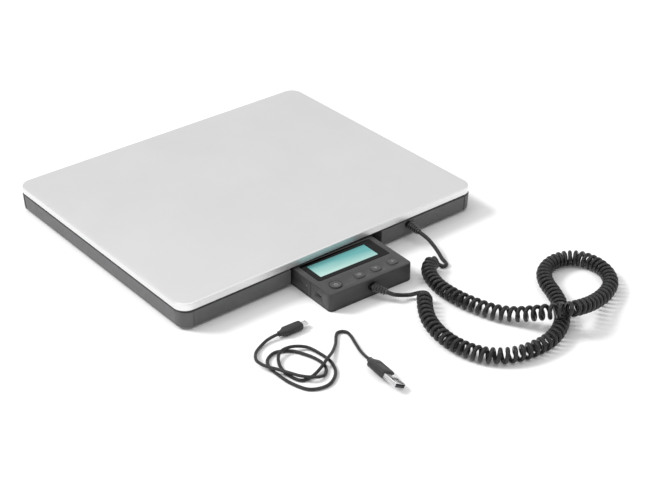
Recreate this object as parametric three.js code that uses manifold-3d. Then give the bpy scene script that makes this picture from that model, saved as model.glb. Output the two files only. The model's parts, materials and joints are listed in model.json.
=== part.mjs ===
// Platform shipping scale: a flat steel weighing platform on a moulded base with four
// load-cell feet, and a hand-sized display unit that slides out of a bay in the front edge
// and hangs on a curly cord. A loose USB charging lead lies in front of it.
// Millimetres, +Z up. The front edge, with the bay, faces -Y. z = 0 is the table.
import * as THREE from "three";
import { mergeVertices } from "three/addons/utils/BufferGeometryUtils.js";
import Module from "manifold-3d";

const wasm = await Module();
wasm.setup();

// ---------- driving dimensions ----------
const GAP = 0.3;                                   // clearance kept between touching pieces

const PLATE = { width: 380, depth: 319, corner: 14, top: 30.4, skirt: 8, sheet: 1.2, rim: 1.6 };
const BASE = { width: 381.4, depth: 320.5, corner: 14.7, bottom: 3, wall: 2.6, floor: 2.4 };
const BASE_TOP = PLATE.top - PLATE.skirt - GAP;
const DRAFT = 0.9;                                 // how far the base walls lean in at the bottom
const POST = 13.5;                                 // corner posts, from each outer face
const PANEL_INSET = 0.45;                          // side panels lie this far behind the posts

const BAY = { half: 59.6, back: -85, roof: 22.6, wall: 2.2, roofSheet: 1.2 };
const FOOT = { x: 160, y: 130, radius: 20, pad: 19, travel: 0.5 };
const CELL = { size: 34, thick: 2.4, bottom: 12.1 };
const BOSSES = [[-165, 0], [165, 0], [-75, 139], [75, 139], [-118, -60], [118, -60]];
const SCREW = { shank: 1.4, head: 3.2, headHeight: 2.2, seat: 12 };
const CORD_EXIT = { x: 96.7, z: 15.5 };            // the curly cord's exit in the front wall

const UNIT = { width: 102.5, depth: 72, height: 20.6, corner: 4.5, wall: 1.8, cover: 1.6 };
const UNIT_FRONT_LEFT = [-58.7, -221.3];           // its front left corner, pulled out of the bay
const UNIT_YAW = THREE.MathUtils.degToRad(-2.3);
const WINDOW = { x0: 6.6, x1: 95.9, y0: 27.2, y1: 63.5, thick: 0.9, step: 1.4 };
const LCD = { x0: 13.5, x1: 86, y0: 34, y1: 58.3, thick: 2.8 };
const KEY = { y: 12.4, top: 21.7, low: 17.4, flange: 1, rim: 1.1, width: 10, depth: 9.6, corner: 3 };
const POWER_KEY = { x: 16, radius: 6, dish: 7.6 };
const KEY_ROW = [45, 65.6, 86.7];
const PORT = { y: 18.5, z: 10.4, width: 7.5, height: 2.9, length: 5.6 };
const LED = { y: 40, z: 12, radius: 1.2 };
const UNIT_EXIT = { x: 51.25, z: 11.8 };           // the curly cord's exit in the unit's front

const WIRE = 4.2;                                  // the curly cord's own wire
const COIL = 16.2;                                 // its coil, across the outside
const USB_WIRE = 3.2;

// The base stands behind the origin, so that the origin is the middle of the footprint of
// the base and the pulled-out unit together.
const unitCorner = UNIT_FRONT_LEFT[1] + (UNIT.width - UNIT.corner) * Math.sin(UNIT_YAW)
  + UNIT.corner * Math.cos(UNIT_YAW);
const unitFront = unitCorner - UNIT.corner;
const BASE_Y = -(unitFront + BASE.depth / 2) / 2;

// ---------- finishes ----------
function finish(color, metalness, roughness) {
  return new THREE.MeshStandardMaterial({ color, metalness, roughness });
}
const steel = finish(0xdcdcdc, 0.85, 0.32);
const zinc = finish(0xb8bcc0, 0.9, 0.35);
const baseAbs = finish(0x3f4143, 0, 0.55);
const unitAbs = finish(0x46484a, 0, 0.5);
const frameAbs = finish(0x2c2d2f, 0, 0.6);
const keyAbs = finish(0x55585a, 0, 0.5);
const silicone = finish(0x6a6c6e, 0, 0.7);
const rubber = finish(0x1d1e1f, 0, 0.75);
const cordSheath = finish(0x17181a, 0, 0.4);
const smoked = finish(0x0b0c0d, 0, 0.12);
const lcdGlass = finish(0x7cc4c2, 0, 0.2);
const circuit = finish(0x1f5a34, 0.1, 0.5);
const cellSteel = finish(0x9ea2a6, 0.9, 0.4);
const foil = finish(0xc3c7cb, 0.3, 0.45);
const lens = finish(0xb8d8c0, 0, 0.2);

// ---------- solids ----------
// A three.js geometry as a solid that can be joined and cut.
function solid(geometry) {
  const bare = geometry.clone();
  bare.deleteAttribute("normal");
  bare.deleteAttribute("uv");
  const merged = mergeVertices(bare, 1e-4);
  const vertProperties = new Float32Array(merged.attributes.position.array);
  const triVerts = new Uint32Array(merged.index.array);
  return new wasm.Manifold(new wasm.Mesh({ numProp: 3, vertProperties, triVerts }));
}

function join(first, ...rest) {
  return rest.reduce((sum, next) => sum.add(next), first);
}

function cut(first, ...rest) {
  return rest.reduce((left, next) => left.subtract(next), first);
}

function place(parent, name, body, material) {
  const mesh = body.getMesh();
  const geometry = new THREE.BufferGeometry();
  geometry.setAttribute("position", new THREE.BufferAttribute(mesh.vertProperties, 3));
  geometry.setIndex(new THREE.BufferAttribute(mesh.triVerts, 1));
  geometry.computeVertexNormals();
  const node = new THREE.Mesh(geometry, material);
  node.name = name;
  parent.add(node);
  return node;
}

function block(x0, x1, y0, y1, z0, z1) {
  const geometry = new THREE.BoxGeometry(x1 - x0, y1 - y0, z1 - z0);
  return solid(geometry.translate((x0 + x1) / 2, (y0 + y1) / 2, (z0 + z1) / 2));
}

// A rounded rectangle with its middle at (cx, cy).
function roundedRect(width, depth, radius, cx = 0, cy = 0) {
  const x = width / 2 - radius;
  const y = depth / 2 - radius;
  const shape = new THREE.Shape();
  shape.absarc(cx + x, cy + y, radius, 0, Math.PI / 2);
  shape.absarc(cx - x, cy + y, radius, Math.PI / 2, Math.PI);
  shape.absarc(cx - x, cy - y, radius, Math.PI, Math.PI * 1.5);
  shape.absarc(cx + x, cy - y, radius, Math.PI * 1.5, Math.PI * 2);
  shape.closePath();
  return shape;
}

function slab(shape, z0, z1, curveSegments = 4) {
  const options = { depth: z1 - z0, bevelEnabled: false, curveSegments };
  return solid(new THREE.ExtrudeGeometry(shape, options).translate(0, 0, z0));
}

// A slab whose upper (or lower) edge is rounded by the radius given.
function crowned(width, depth, corner, z0, z1, round, upper = true, cx = 0, cy = 0, arc = 4) {
  const shape = roundedRect(width - 2 * round, depth - 2 * round, corner - round, cx, cy);
  const options = {
    depth: z1 - z0,
    bevelEnabled: true,
    bevelThickness: round,
    bevelSize: round,
    bevelSegments: 2,
    curveSegments: arc,
  };
  const shift = upper ? z0 - round : z0 + round;
  const whole = solid(new THREE.ExtrudeGeometry(shape, options).translate(0, 0, shift));
  return whole.intersect(block(-width + cx, width + cx, -depth + cy, depth + cy, z0, z1));
}

function rod(radius, z0, z1, x = 0, y = 0, sides = 12) {
  const geometry = new THREE.CylinderGeometry(radius, radius, z1 - z0, sides);
  return solid(geometry.rotateX(Math.PI / 2).translate(x, y, (z0 + z1) / 2));
}

// A turned solid: pairs of radius and height, from the axis back to the axis.
function turned(profile, sides = 16) {
  const points = profile.map(([radius, height]) => new THREE.Vector2(radius, height));
  return new THREE.LatheGeometry(points, sides).rotateX(Math.PI / 2);
}

// The same, with its axis laid from a start point along a direction.
function turnedAlong(profile, start, direction, sides = 8) {
  const spin = new THREE.Quaternion().setFromUnitVectors(
    new THREE.Vector3(0, 0, 1),
    new THREE.Vector3(...direction).normalize(),
  );
  return solid(turned(profile, sides).applyQuaternion(spin).translate(...start));
}

// A round tube through the points of a route.
function tube(route, diameter, steps, sides = 8) {
  const curve = new THREE.CatmullRomCurve3(route.map((point) => new THREE.Vector3(...point)));
  const section = new THREE.Shape();
  for (let i = 0; i < sides; i += 1) {
    const angle = (i * 2 * Math.PI) / sides;
    const corner = [Math.cos(angle) * diameter / 2, Math.sin(angle) * diameter / 2];
    if (i === 0) {
      section.moveTo(...corner);
    } else {
      section.lineTo(...corner);
    }
  }
  section.closePath();
  return solid(new THREE.ExtrudeGeometry(section, { steps, extrudePath: curve }));
}

// ---------- platform ----------
function platformPlate() {
  const low = PLATE.top - PLATE.skirt;
  const inner = PLATE.top - PLATE.sheet;
  const outside = crowned(PLATE.width, PLATE.depth, PLATE.corner, low, PLATE.top, PLATE.rim);
  const hollow = roundedRect(
    PLATE.width - 2 * PLATE.sheet,
    PLATE.depth - 2 * PLATE.sheet,
    PLATE.corner - PLATE.sheet,
  );
  return cut(outside, slab(hollow, low - 1, inner));
}

// A flat cast carrier under the plate: a rim and broad ribs, with windows between them. It
// is thinner where it passes over the bay.
const FRAME = { margin: 2.2, rim: 9, rib: 10, ribsX: [-118, -75, 75, 118], ribsY: [-60, 0, 75] };
FRAME.bottom = BASE_TOP + 0.5;
FRAME.top = PLATE.top - PLATE.sheet - GAP;

// The spans left between a rim at each end and the ribs.
function spans(half, ribs) {
  const lows = [-half + FRAME.rim, ...ribs.map((rib) => rib + FRAME.rib / 2)];
  const highs = [...ribs.map((rib) => rib - FRAME.rib / 2), half - FRAME.rim];
  return lows.map((low, i) => [low, highs[i]]);
}

function supportFrame() {
  const { margin, bottom, top } = FRAME;
  const width = PLATE.width - 2 * (PLATE.sheet + margin);
  const depth = PLATE.depth - 2 * (PLATE.sheet + margin);
  let frame = slab(roundedRect(width, depth, PLATE.corner - PLATE.sheet - margin), bottom, top);
  for (const [x0, x1] of spans(width / 2, FRAME.ribsX)) {
    for (const [y0, y1] of spans(depth / 2, FRAME.ribsY)) {
      frame = frame.subtract(block(x0, x1, y0, y1, bottom - 1, top + 1));
    }
  }
  for (const [x, y] of BOSSES) {
    frame = frame.subtract(rod(SCREW.shank + 0.4, bottom - 1, top - 1, x, y, 8));
  }
  const overBay = BAY.half + BAY.wall + 1;
  const roofTop = BAY.roof + BAY.roofSheet + GAP;
  return frame.subtract(block(-overBay, overBay, -200, BAY.back + 4, bottom - 1, roofTop));
}

// ---------- base ----------
function baseShell() {
  const shape = roundedRect(BASE.width, BASE.depth, BASE.corner);
  const height = BASE_TOP - BASE.bottom;
  const options = { depth: height, bevelEnabled: false, curveSegments: 6 };
  const geometry = new THREE.ExtrudeGeometry(shape, options).translate(0, 0, BASE.bottom);
  const position = geometry.attributes.position;
  for (let i = 0; i < position.count; i += 1) {
    if (position.getZ(i) < BASE.bottom + 0.01) {
      position.setX(i, position.getX(i) * (1 - (2 * DRAFT) / BASE.width));
      position.setY(i, position.getY(i) * (1 - (2 * DRAFT) / BASE.depth));
    }
  }
  const inside = roundedRect(
    BASE.width - 2 * (BASE.wall + DRAFT),
    BASE.depth - 2 * (BASE.wall + DRAFT),
    BASE.corner - BASE.wall - DRAFT,
  );
  return cut(solid(geometry), slab(inside, BASE.bottom + BASE.floor, BASE_TOP + 1));
}

// Shallow flat panels between the corner posts, cut into each outer face.
function sidePanels() {
  const x = BASE.width / 2;
  const y = BASE.depth / 2;
  const low = BASE.bottom - 1;
  const high = BASE_TOP + 1;
  return [
    block(-x + POST, x - POST, -y - 5, -y + PANEL_INSET, low, high),
    block(-x + POST, x - POST, y - PANEL_INSET, y + 5, low, high),
    block(-x - 5, -x + PANEL_INSET, -y + POST, y - POST, low, high),
    block(x - PANEL_INSET, x + 5, -y + POST, y - POST, low, high),
  ];
}

function footSpots() {
  return [[-1, -1], [1, -1], [1, 1], [-1, 1]].map(([sx, sy]) => [sx * FOOT.x, sy * FOOT.y]);
}

function baseHousing() {
  const front = -BASE.depth / 2;
  const floorTop = BASE.bottom + BASE.floor;
  const outer = BAY.half + BAY.wall;
  const inFront = front + BASE.wall + DRAFT;
  let body = cut(baseShell(), ...sidePanels());
  const roofTop = BAY.roof + BAY.roofSheet;
  body = body.add(block(-outer, outer, inFront - 0.5, BAY.back + BAY.wall, BASE.bottom, roofTop));
  body = body.add(block(-outer, -BAY.half, front + PANEL_INSET + 0.4, inFront, BASE.bottom, BASE_TOP));
  body = body.add(block(BAY.half, outer, front + PANEL_INSET + 0.4, inFront, BASE.bottom, BASE_TOP));
  body = body.subtract(block(-BAY.half, BAY.half, front - 5, BAY.back, BASE.bottom - 5, BAY.roof));
  const wellTop = CELL.bottom - GAP;
  for (const [x, y] of footSpots()) {
    body = body.add(rod(FOOT.radius + 3.4, BASE.bottom, wellTop, x, y, 16));
    for (const side of [-1, 1]) {
      const near = x + side * (CELL.size / 2 + GAP);
      const far = near + side * 5.5;
      const [x0, x1] = [Math.min(near, far), Math.max(near, far)];
      body = body.add(block(x0, x1, y - 5, y + 5, BASE.bottom + 1, CELL.bottom + CELL.thick));
    }
  }
  for (const [x, y] of footSpots()) {
    body = body.subtract(rod(FOOT.radius + 1, BASE.bottom - 1, CELL.bottom - GAP, x, y, 16));
    body = body.subtract(block(x - CELL.size / 2 - GAP, x + CELL.size / 2 + GAP, y - 8, y + 8,
      CELL.bottom - GAP, CELL.bottom + CELL.thick + 1));
  }
  for (const [x, y] of BOSSES) {
    body = body.add(rod(5.2, floorTop - 1, BASE_TOP, x, y, 10));
  }
  for (const [x, y] of BOSSES) {
    body = body.subtract(rod(SCREW.head + GAP, BASE.bottom - 1, SCREW.seat, x, y, 10));
    body = body.subtract(rod(SCREW.shank + 0.4, BASE.bottom, BASE_TOP + 1, x, y, 8));
  }
  for (const [x, y] of boardPosts()) {
    body = body.add(rod(2.2, floorTop - 1, BOARD.z - GAP, x, y, 8));
  }
  const hole = new THREE.CylinderGeometry(EXIT_HOLE, EXIT_HOLE, 12, 14);
  const recess = new THREE.CylinderGeometry(6.6, 6.6, 2, 16);
  body = body.subtract(solid(hole.translate(CORD_EXIT.x, front + 1, CORD_EXIT.z)));
  return body.subtract(solid(recess.translate(CORD_EXIT.x, front + PANEL_INSET, CORD_EXIT.z)));
}

// The small summing board near the cord's exit, on four posts.
const BOARD = { x: 97, y: -112, width: 46, depth: 34, z: 9, thick: 1.6 };
function boardPosts() {
  const x = BOARD.width / 2 - 4;
  const y = BOARD.depth / 2 - 4;
  return [[-x, -y], [x, -y], [x, y], [-x, y]].map(([dx, dy]) => [BOARD.x + dx, BOARD.y + dy]);
}

function junctionBoard() {
  const { x, y, width, depth, z, thick } = BOARD;
  const top = z + thick;
  return join(
    block(x - width / 2, x + width / 2, y - depth / 2, y + depth / 2, z, top),
    block(x - 20, x - 8, y - 12, y - 6, top - 0.2, top + 4),
    block(x + 2, x + 12, y - 4, y + 6, top - 0.2, top + 1.4),
    block(x - 18, x - 12, y + 4, y + 12, top - 0.2, top + 3),
  );
}

function loadCell(x, y) {
  const half = CELL.size / 2;
  const top = CELL.bottom + CELL.thick;
  const plate = slab(roundedRect(CELL.size, CELL.size, 3, x, y), CELL.bottom, top, 3);
  const slotWidth = 1.8;
  const reach = half - 6;
  const low = CELL.bottom - 1;
  return cut(
    plate,
    block(x - 9 - slotWidth, x - 9, y - reach, y + reach, low, top + 1),
    block(x + 9, x + 9 + slotWidth, y - reach, y + reach, low, top + 1),
    block(x - 9.5, x + 9.5, y + reach - slotWidth, y + reach, low, top + 1),
  );
}

// The wire from a load cell over its well and along the base's floor to the summing board.
const CELL_WIRE = 2;
const FLOOR_WIRE_Z = 8;
function cellWire(x, y, way, side, landing, steps) {
  const inward = -Math.sign(x);
  const row = y - Math.sign(y) * 12;
  const start = x + inward * (CELL.size / 2 + 2 * GAP);
  const route = [
    [start, row, 13.3], [start + inward * 6, row, 13.2], [start + inward * 11, row, 10.6],
    [start + inward * 16, row, FLOOR_WIRE_Z], ...way.map(([px, py]) => [px, py, FLOOR_WIRE_Z]),
    [BOARD.x + side * (BOARD.width / 2 + 5), landing, BOARD.z + 0.6],
    [BOARD.x + side * (BOARD.width / 2 + 0.5), landing, BOARD.z + 0.8],
  ];
  return tube(route, CELL_WIRE, steps, 6);
}

function footCup(x, y) {
  const low = 3.2;
  const profile = [
    [0, low], [FOOT.radius, low], [FOOT.radius, low + 4], [FOOT.radius - 2, low + 4],
    [FOOT.radius - 2.4, low + 2], [8, low + 2], [5, CELL.bottom - FOOT.travel - 0.2],
    [0, CELL.bottom - FOOT.travel - 0.2],
  ];
  return solid(turned(profile, 16).translate(x, y, 0));
}

function footPad(x, y) {
  const profile = [[0, 0], [FOOT.pad - 1, 0], [FOOT.pad, 1], [FOOT.pad, 2.9], [0, 2.9]];
  return solid(turned(profile, 16).translate(x, y, 0));
}

function panScrew(x, y, seat, length, shank, head, headHeight) {
  const profile = [
    [0, seat - headHeight], [head * 0.7, seat - headHeight], [head, seat - headHeight * 0.5],
    [head, seat], [shank, seat], [shank, seat + length - 1.5], [0, seat + length],
  ];
  return solid(turned(profile, 8).translate(x, y, 0));
}

// A moulded strain relief: a flange behind the wall, a neck through it, then a tapered
// body with raised ribs that points along the direction given.
const RELIEF = { flange: 5.6, neck: 3.7, rib: 4.5, tip: 3.5, first: 2.4, ribs: 5, pitch: 2.8 };
function strainRelief(exit, direction, wall) {
  const inner = turnedAlong(
    [[0, 0], [RELIEF.flange, 0], [RELIEF.flange, 1.6], [RELIEF.neck, 1.6],
      [RELIEF.neck, wall + 4.4], [0, wall + 4.4]],
    [exit[0], exit[1] + wall + 2, exit[2]],
    [0, -1, 0],
  );
  const profile = [[0, RELIEF.first - 0.4], [RELIEF.neck, RELIEF.first - 0.4]];
  for (let i = 0; i < RELIEF.ribs; i += 1) {
    const at = RELIEF.first + i * RELIEF.pitch;
    const radius = THREE.MathUtils.lerp(RELIEF.rib, RELIEF.tip, i / (RELIEF.ribs - 1));
    const waist = radius - 0.9;
    profile.push([radius, at], [radius, at + 1.9], [waist, at + 2.2], [waist, at + RELIEF.pitch]);
  }
  const end = RELIEF.first + RELIEF.ribs * RELIEF.pitch;
  profile.push([WIRE / 2 + 0.4, end], [WIRE / 2 + 0.4, end + 1], [0, end + 1]);
  return join(inner, turnedAlong(profile, exit, direction));
}
const RELIEF_LENGTH = RELIEF.first + RELIEF.ribs * RELIEF.pitch + 1;

// A point on the relief's line, past its end by the gap.
function reliefTip(exit, direction, beyond = GAP) {
  const way = new THREE.Vector3(...direction).normalize();
  return new THREE.Vector3(...exit).addScaledVector(way, RELIEF_LENGTH + beyond).toArray();
}

// ---------- display unit, in its own frame: x along its front, y towards the base ----------
const UNIT_POSTS = [[6.5, 6.5], [96, 6.5], [96, 65.5], [6.5, 65.5]];
const UNIT_TOP_INSIDE = UNIT.height - UNIT.wall;
const UPPER_POST = { radius: 2.8, low: 6.9, bore: 1.4 };
const LOWER_POST = { radius: 3.5, top: 6.6, bore: 1.4, head: 2.4, headDepth: 2.2 };
const SIDE_GROOVE = { y0: 32.1, y1: 32.7, depth: 0.4, top: 1.2 };
const PORT_RECESS = { halfWidth: 6, halfHeight: 3.3, depth: 0.6 };
const KEY_HOLES_LOW = 17;
const EXIT_HOLE = 4.1;
const MID = [UNIT.width / 2, UNIT.depth / 2];

function unitTopCase() {
  const { width, depth, height, corner, wall, cover } = UNIT;
  const low = cover + GAP;
  let body = crowned(width, depth, corner, low, height, 1.2, true, ...MID);
  const inside = roundedRect(width - 2 * wall, depth - 2 * wall, corner - wall, ...MID);
  body = body.subtract(slab(inside, low - 1, UNIT_TOP_INSIDE, 3));
  for (const [x, y] of UNIT_POSTS) {
    body = body.add(rod(UPPER_POST.radius, UPPER_POST.low, UNIT_TOP_INSIDE + 0.5, x, y, 8));
    body = body.subtract(rod(UPPER_POST.bore, UPPER_POST.low - 0.9, UNIT_TOP_INSIDE - 1, x, y, 8));
  }
  const { x0, x1, y0, y1, step } = WINDOW;
  const windowShape = roundedRect(x1 - x0, y1 - y0, 2, (x0 + x1) / 2, (y0 + y1) / 2);
  const recessFloor = height - step;
  body = body.subtract(slab(windowShape, recessFloor, height + 1, 3));
  body = body.subtract(block(LCD.x0, LCD.x1, LCD.y0, LCD.y1, UNIT_TOP_INSIDE - 1, height));
  body = body.subtract(rod(POWER_KEY.radius + GAP, KEY_HOLES_LOW, height + 1, POWER_KEY.x, KEY.y, 20));
  body = body.subtract(rod(POWER_KEY.dish, height - 0.35, height + 1, POWER_KEY.x, KEY.y, 20));
  for (const x of KEY_ROW) {
    const hole = roundedRect(KEY.width + 2 * GAP, KEY.depth + 2 * GAP, KEY.corner + GAP, x, KEY.y);
    body = body.subtract(slab(hole, KEY_HOLES_LOW, height + 1, 3));
  }
  const portHalf = PORT.width / 2;
  const portUp = PORT.height / 2;
  const { halfWidth, halfHeight } = PORT_RECESS;
  body = body.subtract(block(-2, PORT_RECESS.depth, PORT.y - halfWidth, PORT.y + halfWidth,
    PORT.z - halfHeight, PORT.z + halfHeight));
  body = body.subtract(block(-2, wall + 1, PORT.y - portHalf - 0.6, PORT.y + portHalf + 0.6,
    PORT.z - portUp - 0.6, PORT.z + portUp + 0.6));
  const ledHole = new THREE.CylinderGeometry(LED.radius + GAP, LED.radius + GAP, 8, 10);
  body = body.subtract(solid(ledHole.rotateZ(Math.PI / 2).translate(0, LED.y, LED.z)));
  for (const x of [0, width]) {
    body = body.subtract(block(x - SIDE_GROOVE.depth, x + SIDE_GROOVE.depth,
      SIDE_GROOVE.y0, SIDE_GROOVE.y1, 0, height - SIDE_GROOVE.top));
  }
  const exitHole = new THREE.CylinderGeometry(EXIT_HOLE, EXIT_HOLE, 12, 14);
  return body.subtract(solid(exitHole.translate(UNIT_EXIT.x, 0, UNIT_EXIT.z)));
}

function unitBottomCase() {
  const { width, depth, corner, wall, cover } = UNIT;
  let body = crowned(width, depth, corner, 0, cover, 0.7, false, ...MID);
  const lip = wall + GAP;
  const outer = roundedRect(width - 2 * lip, depth - 2 * lip, corner - 1.8, ...MID);
  const inner = roundedRect(width - 2 * lip - 2.4, depth - 2 * lip - 2.4, 1.6, ...MID);
  const ring = cut(slab(outer, cover - 0.2, cover + 1.8, 3), slab(inner, cover - 1, cover + 3, 3));
  body = body.add(ring);
  for (const [x, y] of UNIT_POSTS) {
    body = body.add(rod(LOWER_POST.radius, cover - 0.2, LOWER_POST.top, x, y, 10));
  }
  for (const [x, y] of UNIT_POSTS) {
    body = body.subtract(rod(LOWER_POST.head, -1, LOWER_POST.headDepth, x, y, 10));
    body = body.subtract(rod(LOWER_POST.bore, 0, LOWER_POST.top + 1.4, x, y, 8));
  }
  return body;
}

function unitBoard() {
  let board = block(3.6, UNIT.width - 3.6, 3.6, 62, 7, 8.6);
  for (const [x, y] of UNIT_POSTS) {
    board = board.subtract(block(x - 4, x + 4, y - 4, y + 4, 6, 10));
  }
  board = board.subtract(block(UNIT_EXIT.x - 7, UNIT_EXIT.x + 7, 3, 5.4, 6, 10));
  return join(
    board,
    block(40, 50, 30, 40, 8.4, 9.8),
    block(60, 66, 26, 40, 8.4, 10.6),
    block(46, 56, 6, 11, 8.4, 12.4),
    block(22, 27, 44, 52, 8.4, 11),
  );
}

function usbSocket() {
  const { y, z, width, height, length } = PORT;
  const x0 = 0.9;
  const shell = slab(roundedRect(width, height, 0.8, 0, 0), 0, length, 2);
  const mouth = slab(roundedRect(width - 0.9, height - 0.9, 0.5, 0, 0), -1, length - 1.2, 2);
  const tongue = block(-1.9, 1.9, -0.3, 0.3, 0.8, length - 1);
  const turn = (body) => body.rotate([90, 0, 0]).rotate([0, 0, 90]).translate([x0, y, z]);
  return join(cut(turn(shell), turn(mouth)), turn(tongue));
}

function powerKey() {
  const { low, flange, rim } = KEY;
  const { radius } = POWER_KEY;
  const cap = [
    [0, low], [radius + flange, low], [radius + flange, low + rim], [radius, low + rim],
    [radius, KEY.top - 0.7], [radius - 0.7, KEY.top], [radius - 2.2, KEY.top - 0.35],
    [0, KEY.top - 0.5],
  ];
  return solid(turned(cap, 20).translate(POWER_KEY.x, KEY.y, 0));
}

function squareKey(x) {
  const { width, depth, corner, flange, top, low, y } = KEY;
  const rim = roundedRect(width + 2 * flange, depth + 2 * flange, corner, x, y);
  const cap = crowned(width, depth, corner, low + 0.5, top, 0.9, true, x, y, 2);
  return join(slab(rim, low, low + KEY.rim, 2), cap);
}

// ---------- the display unit's inner pieces ----------
function displayWindow() {
  const { x0, x1, y0, y1, thick, step } = WINDOW;
  const low = UNIT.height - step + GAP;
  const shape = roundedRect(x1 - x0 - 2 * GAP, y1 - y0 - 2 * GAP, 1.7, (x0 + x1) / 2, (y0 + y1) / 2);
  return slab(shape, low, low + thick, 3);
}

function lcdPanel() {
  const top = UNIT_TOP_INSIDE - GAP;
  const { x0, x1, y0, y1, thick } = LCD;
  return join(
    block(x0 - 2, x1 + 2, y0 - 2.5, y1 + 2.5, top - thick, top),
    block(x0 + 6, x1 - 6, y1 - 2, y1 + 1.5, top - thick - 2, top - thick + 0.2),
  );
}

function keypadMat() {
  let mat = block(10.4, 92, 4.6, 21.6, 15.1, 16.3);
  for (const x of [POWER_KEY.x, ...KEY_ROW]) {
    mat = mat.subtract(rod(2.2, 14, 15.7, x, KEY.y, 10));
  }
  return mat;
}

function keyBoard() {
  return join(block(10.4, 92, 4.6, 23, 13.2, 14.8), block(44, 58, 18.5, 22, 11, 13.4));
}

function batteryPack() {
  return slab(roundedRect(50, 30, 2.2, 55, 36), 2.4, 6.4, 2);
}

function chargeLed() {
  const points = [[0, 0], [1, 0], [LED.radius, 0.5], [LED.radius, 3], [0, 3]];
  const start = [0.15, LED.y, LED.z];
  return turnedAlong(points, start, [1, 0, 0], 8);
}

// ---------- inner cable of the base ----------
function innerCable() {
  const start = -BASE.depth / 2 + BASE.wall + DRAFT + 2 + PANEL_INSET;
  const route = [
    [CORD_EXIT.x, start + GAP, CORD_EXIT.z], [CORD_EXIT.x, start + 7, CORD_EXIT.z - 0.2],
    [CORD_EXIT.x - 0.2, start + 14, 12.4], [CORD_EXIT.x - 0.4, -133.6, 10],
    [CORD_EXIT.x - 0.4, BOARD.y - BOARD.depth / 2 - GAP, 9.8],
  ];
  return tube(route, 3.6, 8);
}

function cordClamp() {
  const { x, z } = CORD_EXIT;
  const foot = BASE.bottom + BASE.floor + GAP;
  const top = z + 4;
  return join(
    block(x - 4.6, x - 2.4, -148, -143.6, foot, top),
    block(x + 2.4, x + 4.6, -148, -143.6, foot, top),
    block(x - 4.6, x + 4.6, -148, -143.6, top - 1.6, top),
    block(x - 10, x - 2.4, -148, -143.6, foot, foot + 2),
    block(x + 2.4, x + 10, -148, -143.6, foot, foot + 2),
  );
}

// ---------- loose charging lead ----------
// Both plugs are built along +x from the front face of their grip, then turned and placed.
function setDown(body, { x, y, z, yaw, roll = 0 }) {
  return body.rotate([roll, 0, 0]).rotate([0, 0, yaw]).translate([x, y, z]);
}

function alongX(shape, x0, x1) {
  return slab(shape, x0, x1, 2).rotate([90, 0, 0]).rotate([0, 0, 90]);
}

function microGrip() {
  return join(
    alongX(roundedRect(10.4, 7.4, 2.4), -21, 0),
    alongX(roundedRect(7.2, 6, 2.2), -23, -20.9),
    alongX(roundedRect(5.6, 5.2, 2), -27, -22.9),
  );
}

function microTip() {
  const shell = alongX(roundedRect(6.9, 1.9, 0.7), GAP, 6.6);
  return cut(shell, alongX(roundedRect(6.1, 1.1, 0.4), 2.4, 7));
}

const A_GRIP = { relief: 7, length: 24, width: 15.6, height: 8, shell: 18.7 };
function usbAGrip() {
  const { relief, length, width, height } = A_GRIP;
  return join(
    alongX(roundedRect(width, height, 2.6), relief, relief + length),
    alongX(roundedRect(width - 4.5, height - 1.4, 2.4), relief - 2.4, relief + 0.1),
    alongX(roundedRect(6, 5.4, 2.2), 0, relief - 2.3),
  );
}

function usbAShell() {
  const start = A_GRIP.relief + A_GRIP.length + GAP;
  const end = start + A_GRIP.shell;
  const shell = alongX(roundedRect(12, 4.5, 0.6), start, end);
  const mouth = alongX(roundedRect(11.2, 3.7, 0.4), start + 3, end + 1);
  const tongue = alongX(roundedRect(10.4, 1.8, 0.2), start + 2.6, end - 0.8);
  return join(cut(shell, mouth), tongue.translate([0, 0, -0.9]));
}

function unitScrew(x, y) {
  return panScrew(x, y, 2.1, 10, 1, 2.1, 1.5);
}

// ---------- free cords ----------
// Each route is a list of points [x, y, z] on the cord's middle line, about the middle of
// the base. Where a cord passes over itself it rises just clear of the strand below.
const BASE_LEAD_ROUTE = [
  [97.5, -187.8, 11], [95.7, -199.8, 8.5], [92.8, -211.6, 5.5], [90.3, -219.4, 3.5],
  [89.6, -224.4, 2.5], [87.8, -228.6, 2.2], [83.6, -230.4, 2.2], [81, -229.8, 2.2],
];
const COIL_ROUTE = [
  [77.6, -224.4, 8.3], [72.6, -224.2, 8.3], [66.5, -226.8, 8.3], [59.8, -232.8, 8.3],
  [54.2, -241.5, 8.3], [49.6, -253.1, 8.3], [46.8, -267.5, 8.3], [48.2, -293.8, 8.3],
  [52.1, -311.5, 8.3], [57.8, -329.2, 8.4], [66.2, -344.5, 9.8], [75.2, -361.5, 15.4],
  [82.4, -377.4, 22.6], [93.5, -389.6, 26.2], [115.4, -389.4, 20.8],
  [141.6, -383, 13], [166.8, -374.6, 8.8], [184.1, -364.4, 8.3], [195.5, -346.5, 8.3],
  [197.8, -327.3, 8.3], [192.8, -312.6, 8.3], [180.7, -303.6, 8.3], [164.8, -302.1, 8.3],
  [147.2, -309.2, 8.3], [134.7, -323.7, 8.3], [127, -340.7, 8.3], [119.6, -354.8, 8.3],
  [109.7, -368.7, 8.3], [97.9, -381, 8.3], [83.2, -390.5, 8.3], [65.3, -396.9, 8.3],
  [46.1, -397.9, 8.3], [27.2, -394.6, 8.3], [11.6, -386.8, 8.3], [0.4, -375.1, 8.3],
  [-6.7, -358.4, 8.3], [-9.3, -339.1, 8.3], [-6.6, -317.8, 8.3], [0.5, -298.3, 8.3],
  [11.2, -281.5, 8.3], [19.9, -271, 8.3], [27, -262.5, 8.3],
];
const DISPLAY_LEAD_ROUTE = [
  [2.3, -244.8, 8.7], [8.4, -247.2, 6.6], [14.8, -249, 4.9], [19.6, -251.4, 4.5], [22.6, -255, 6],
];
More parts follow.
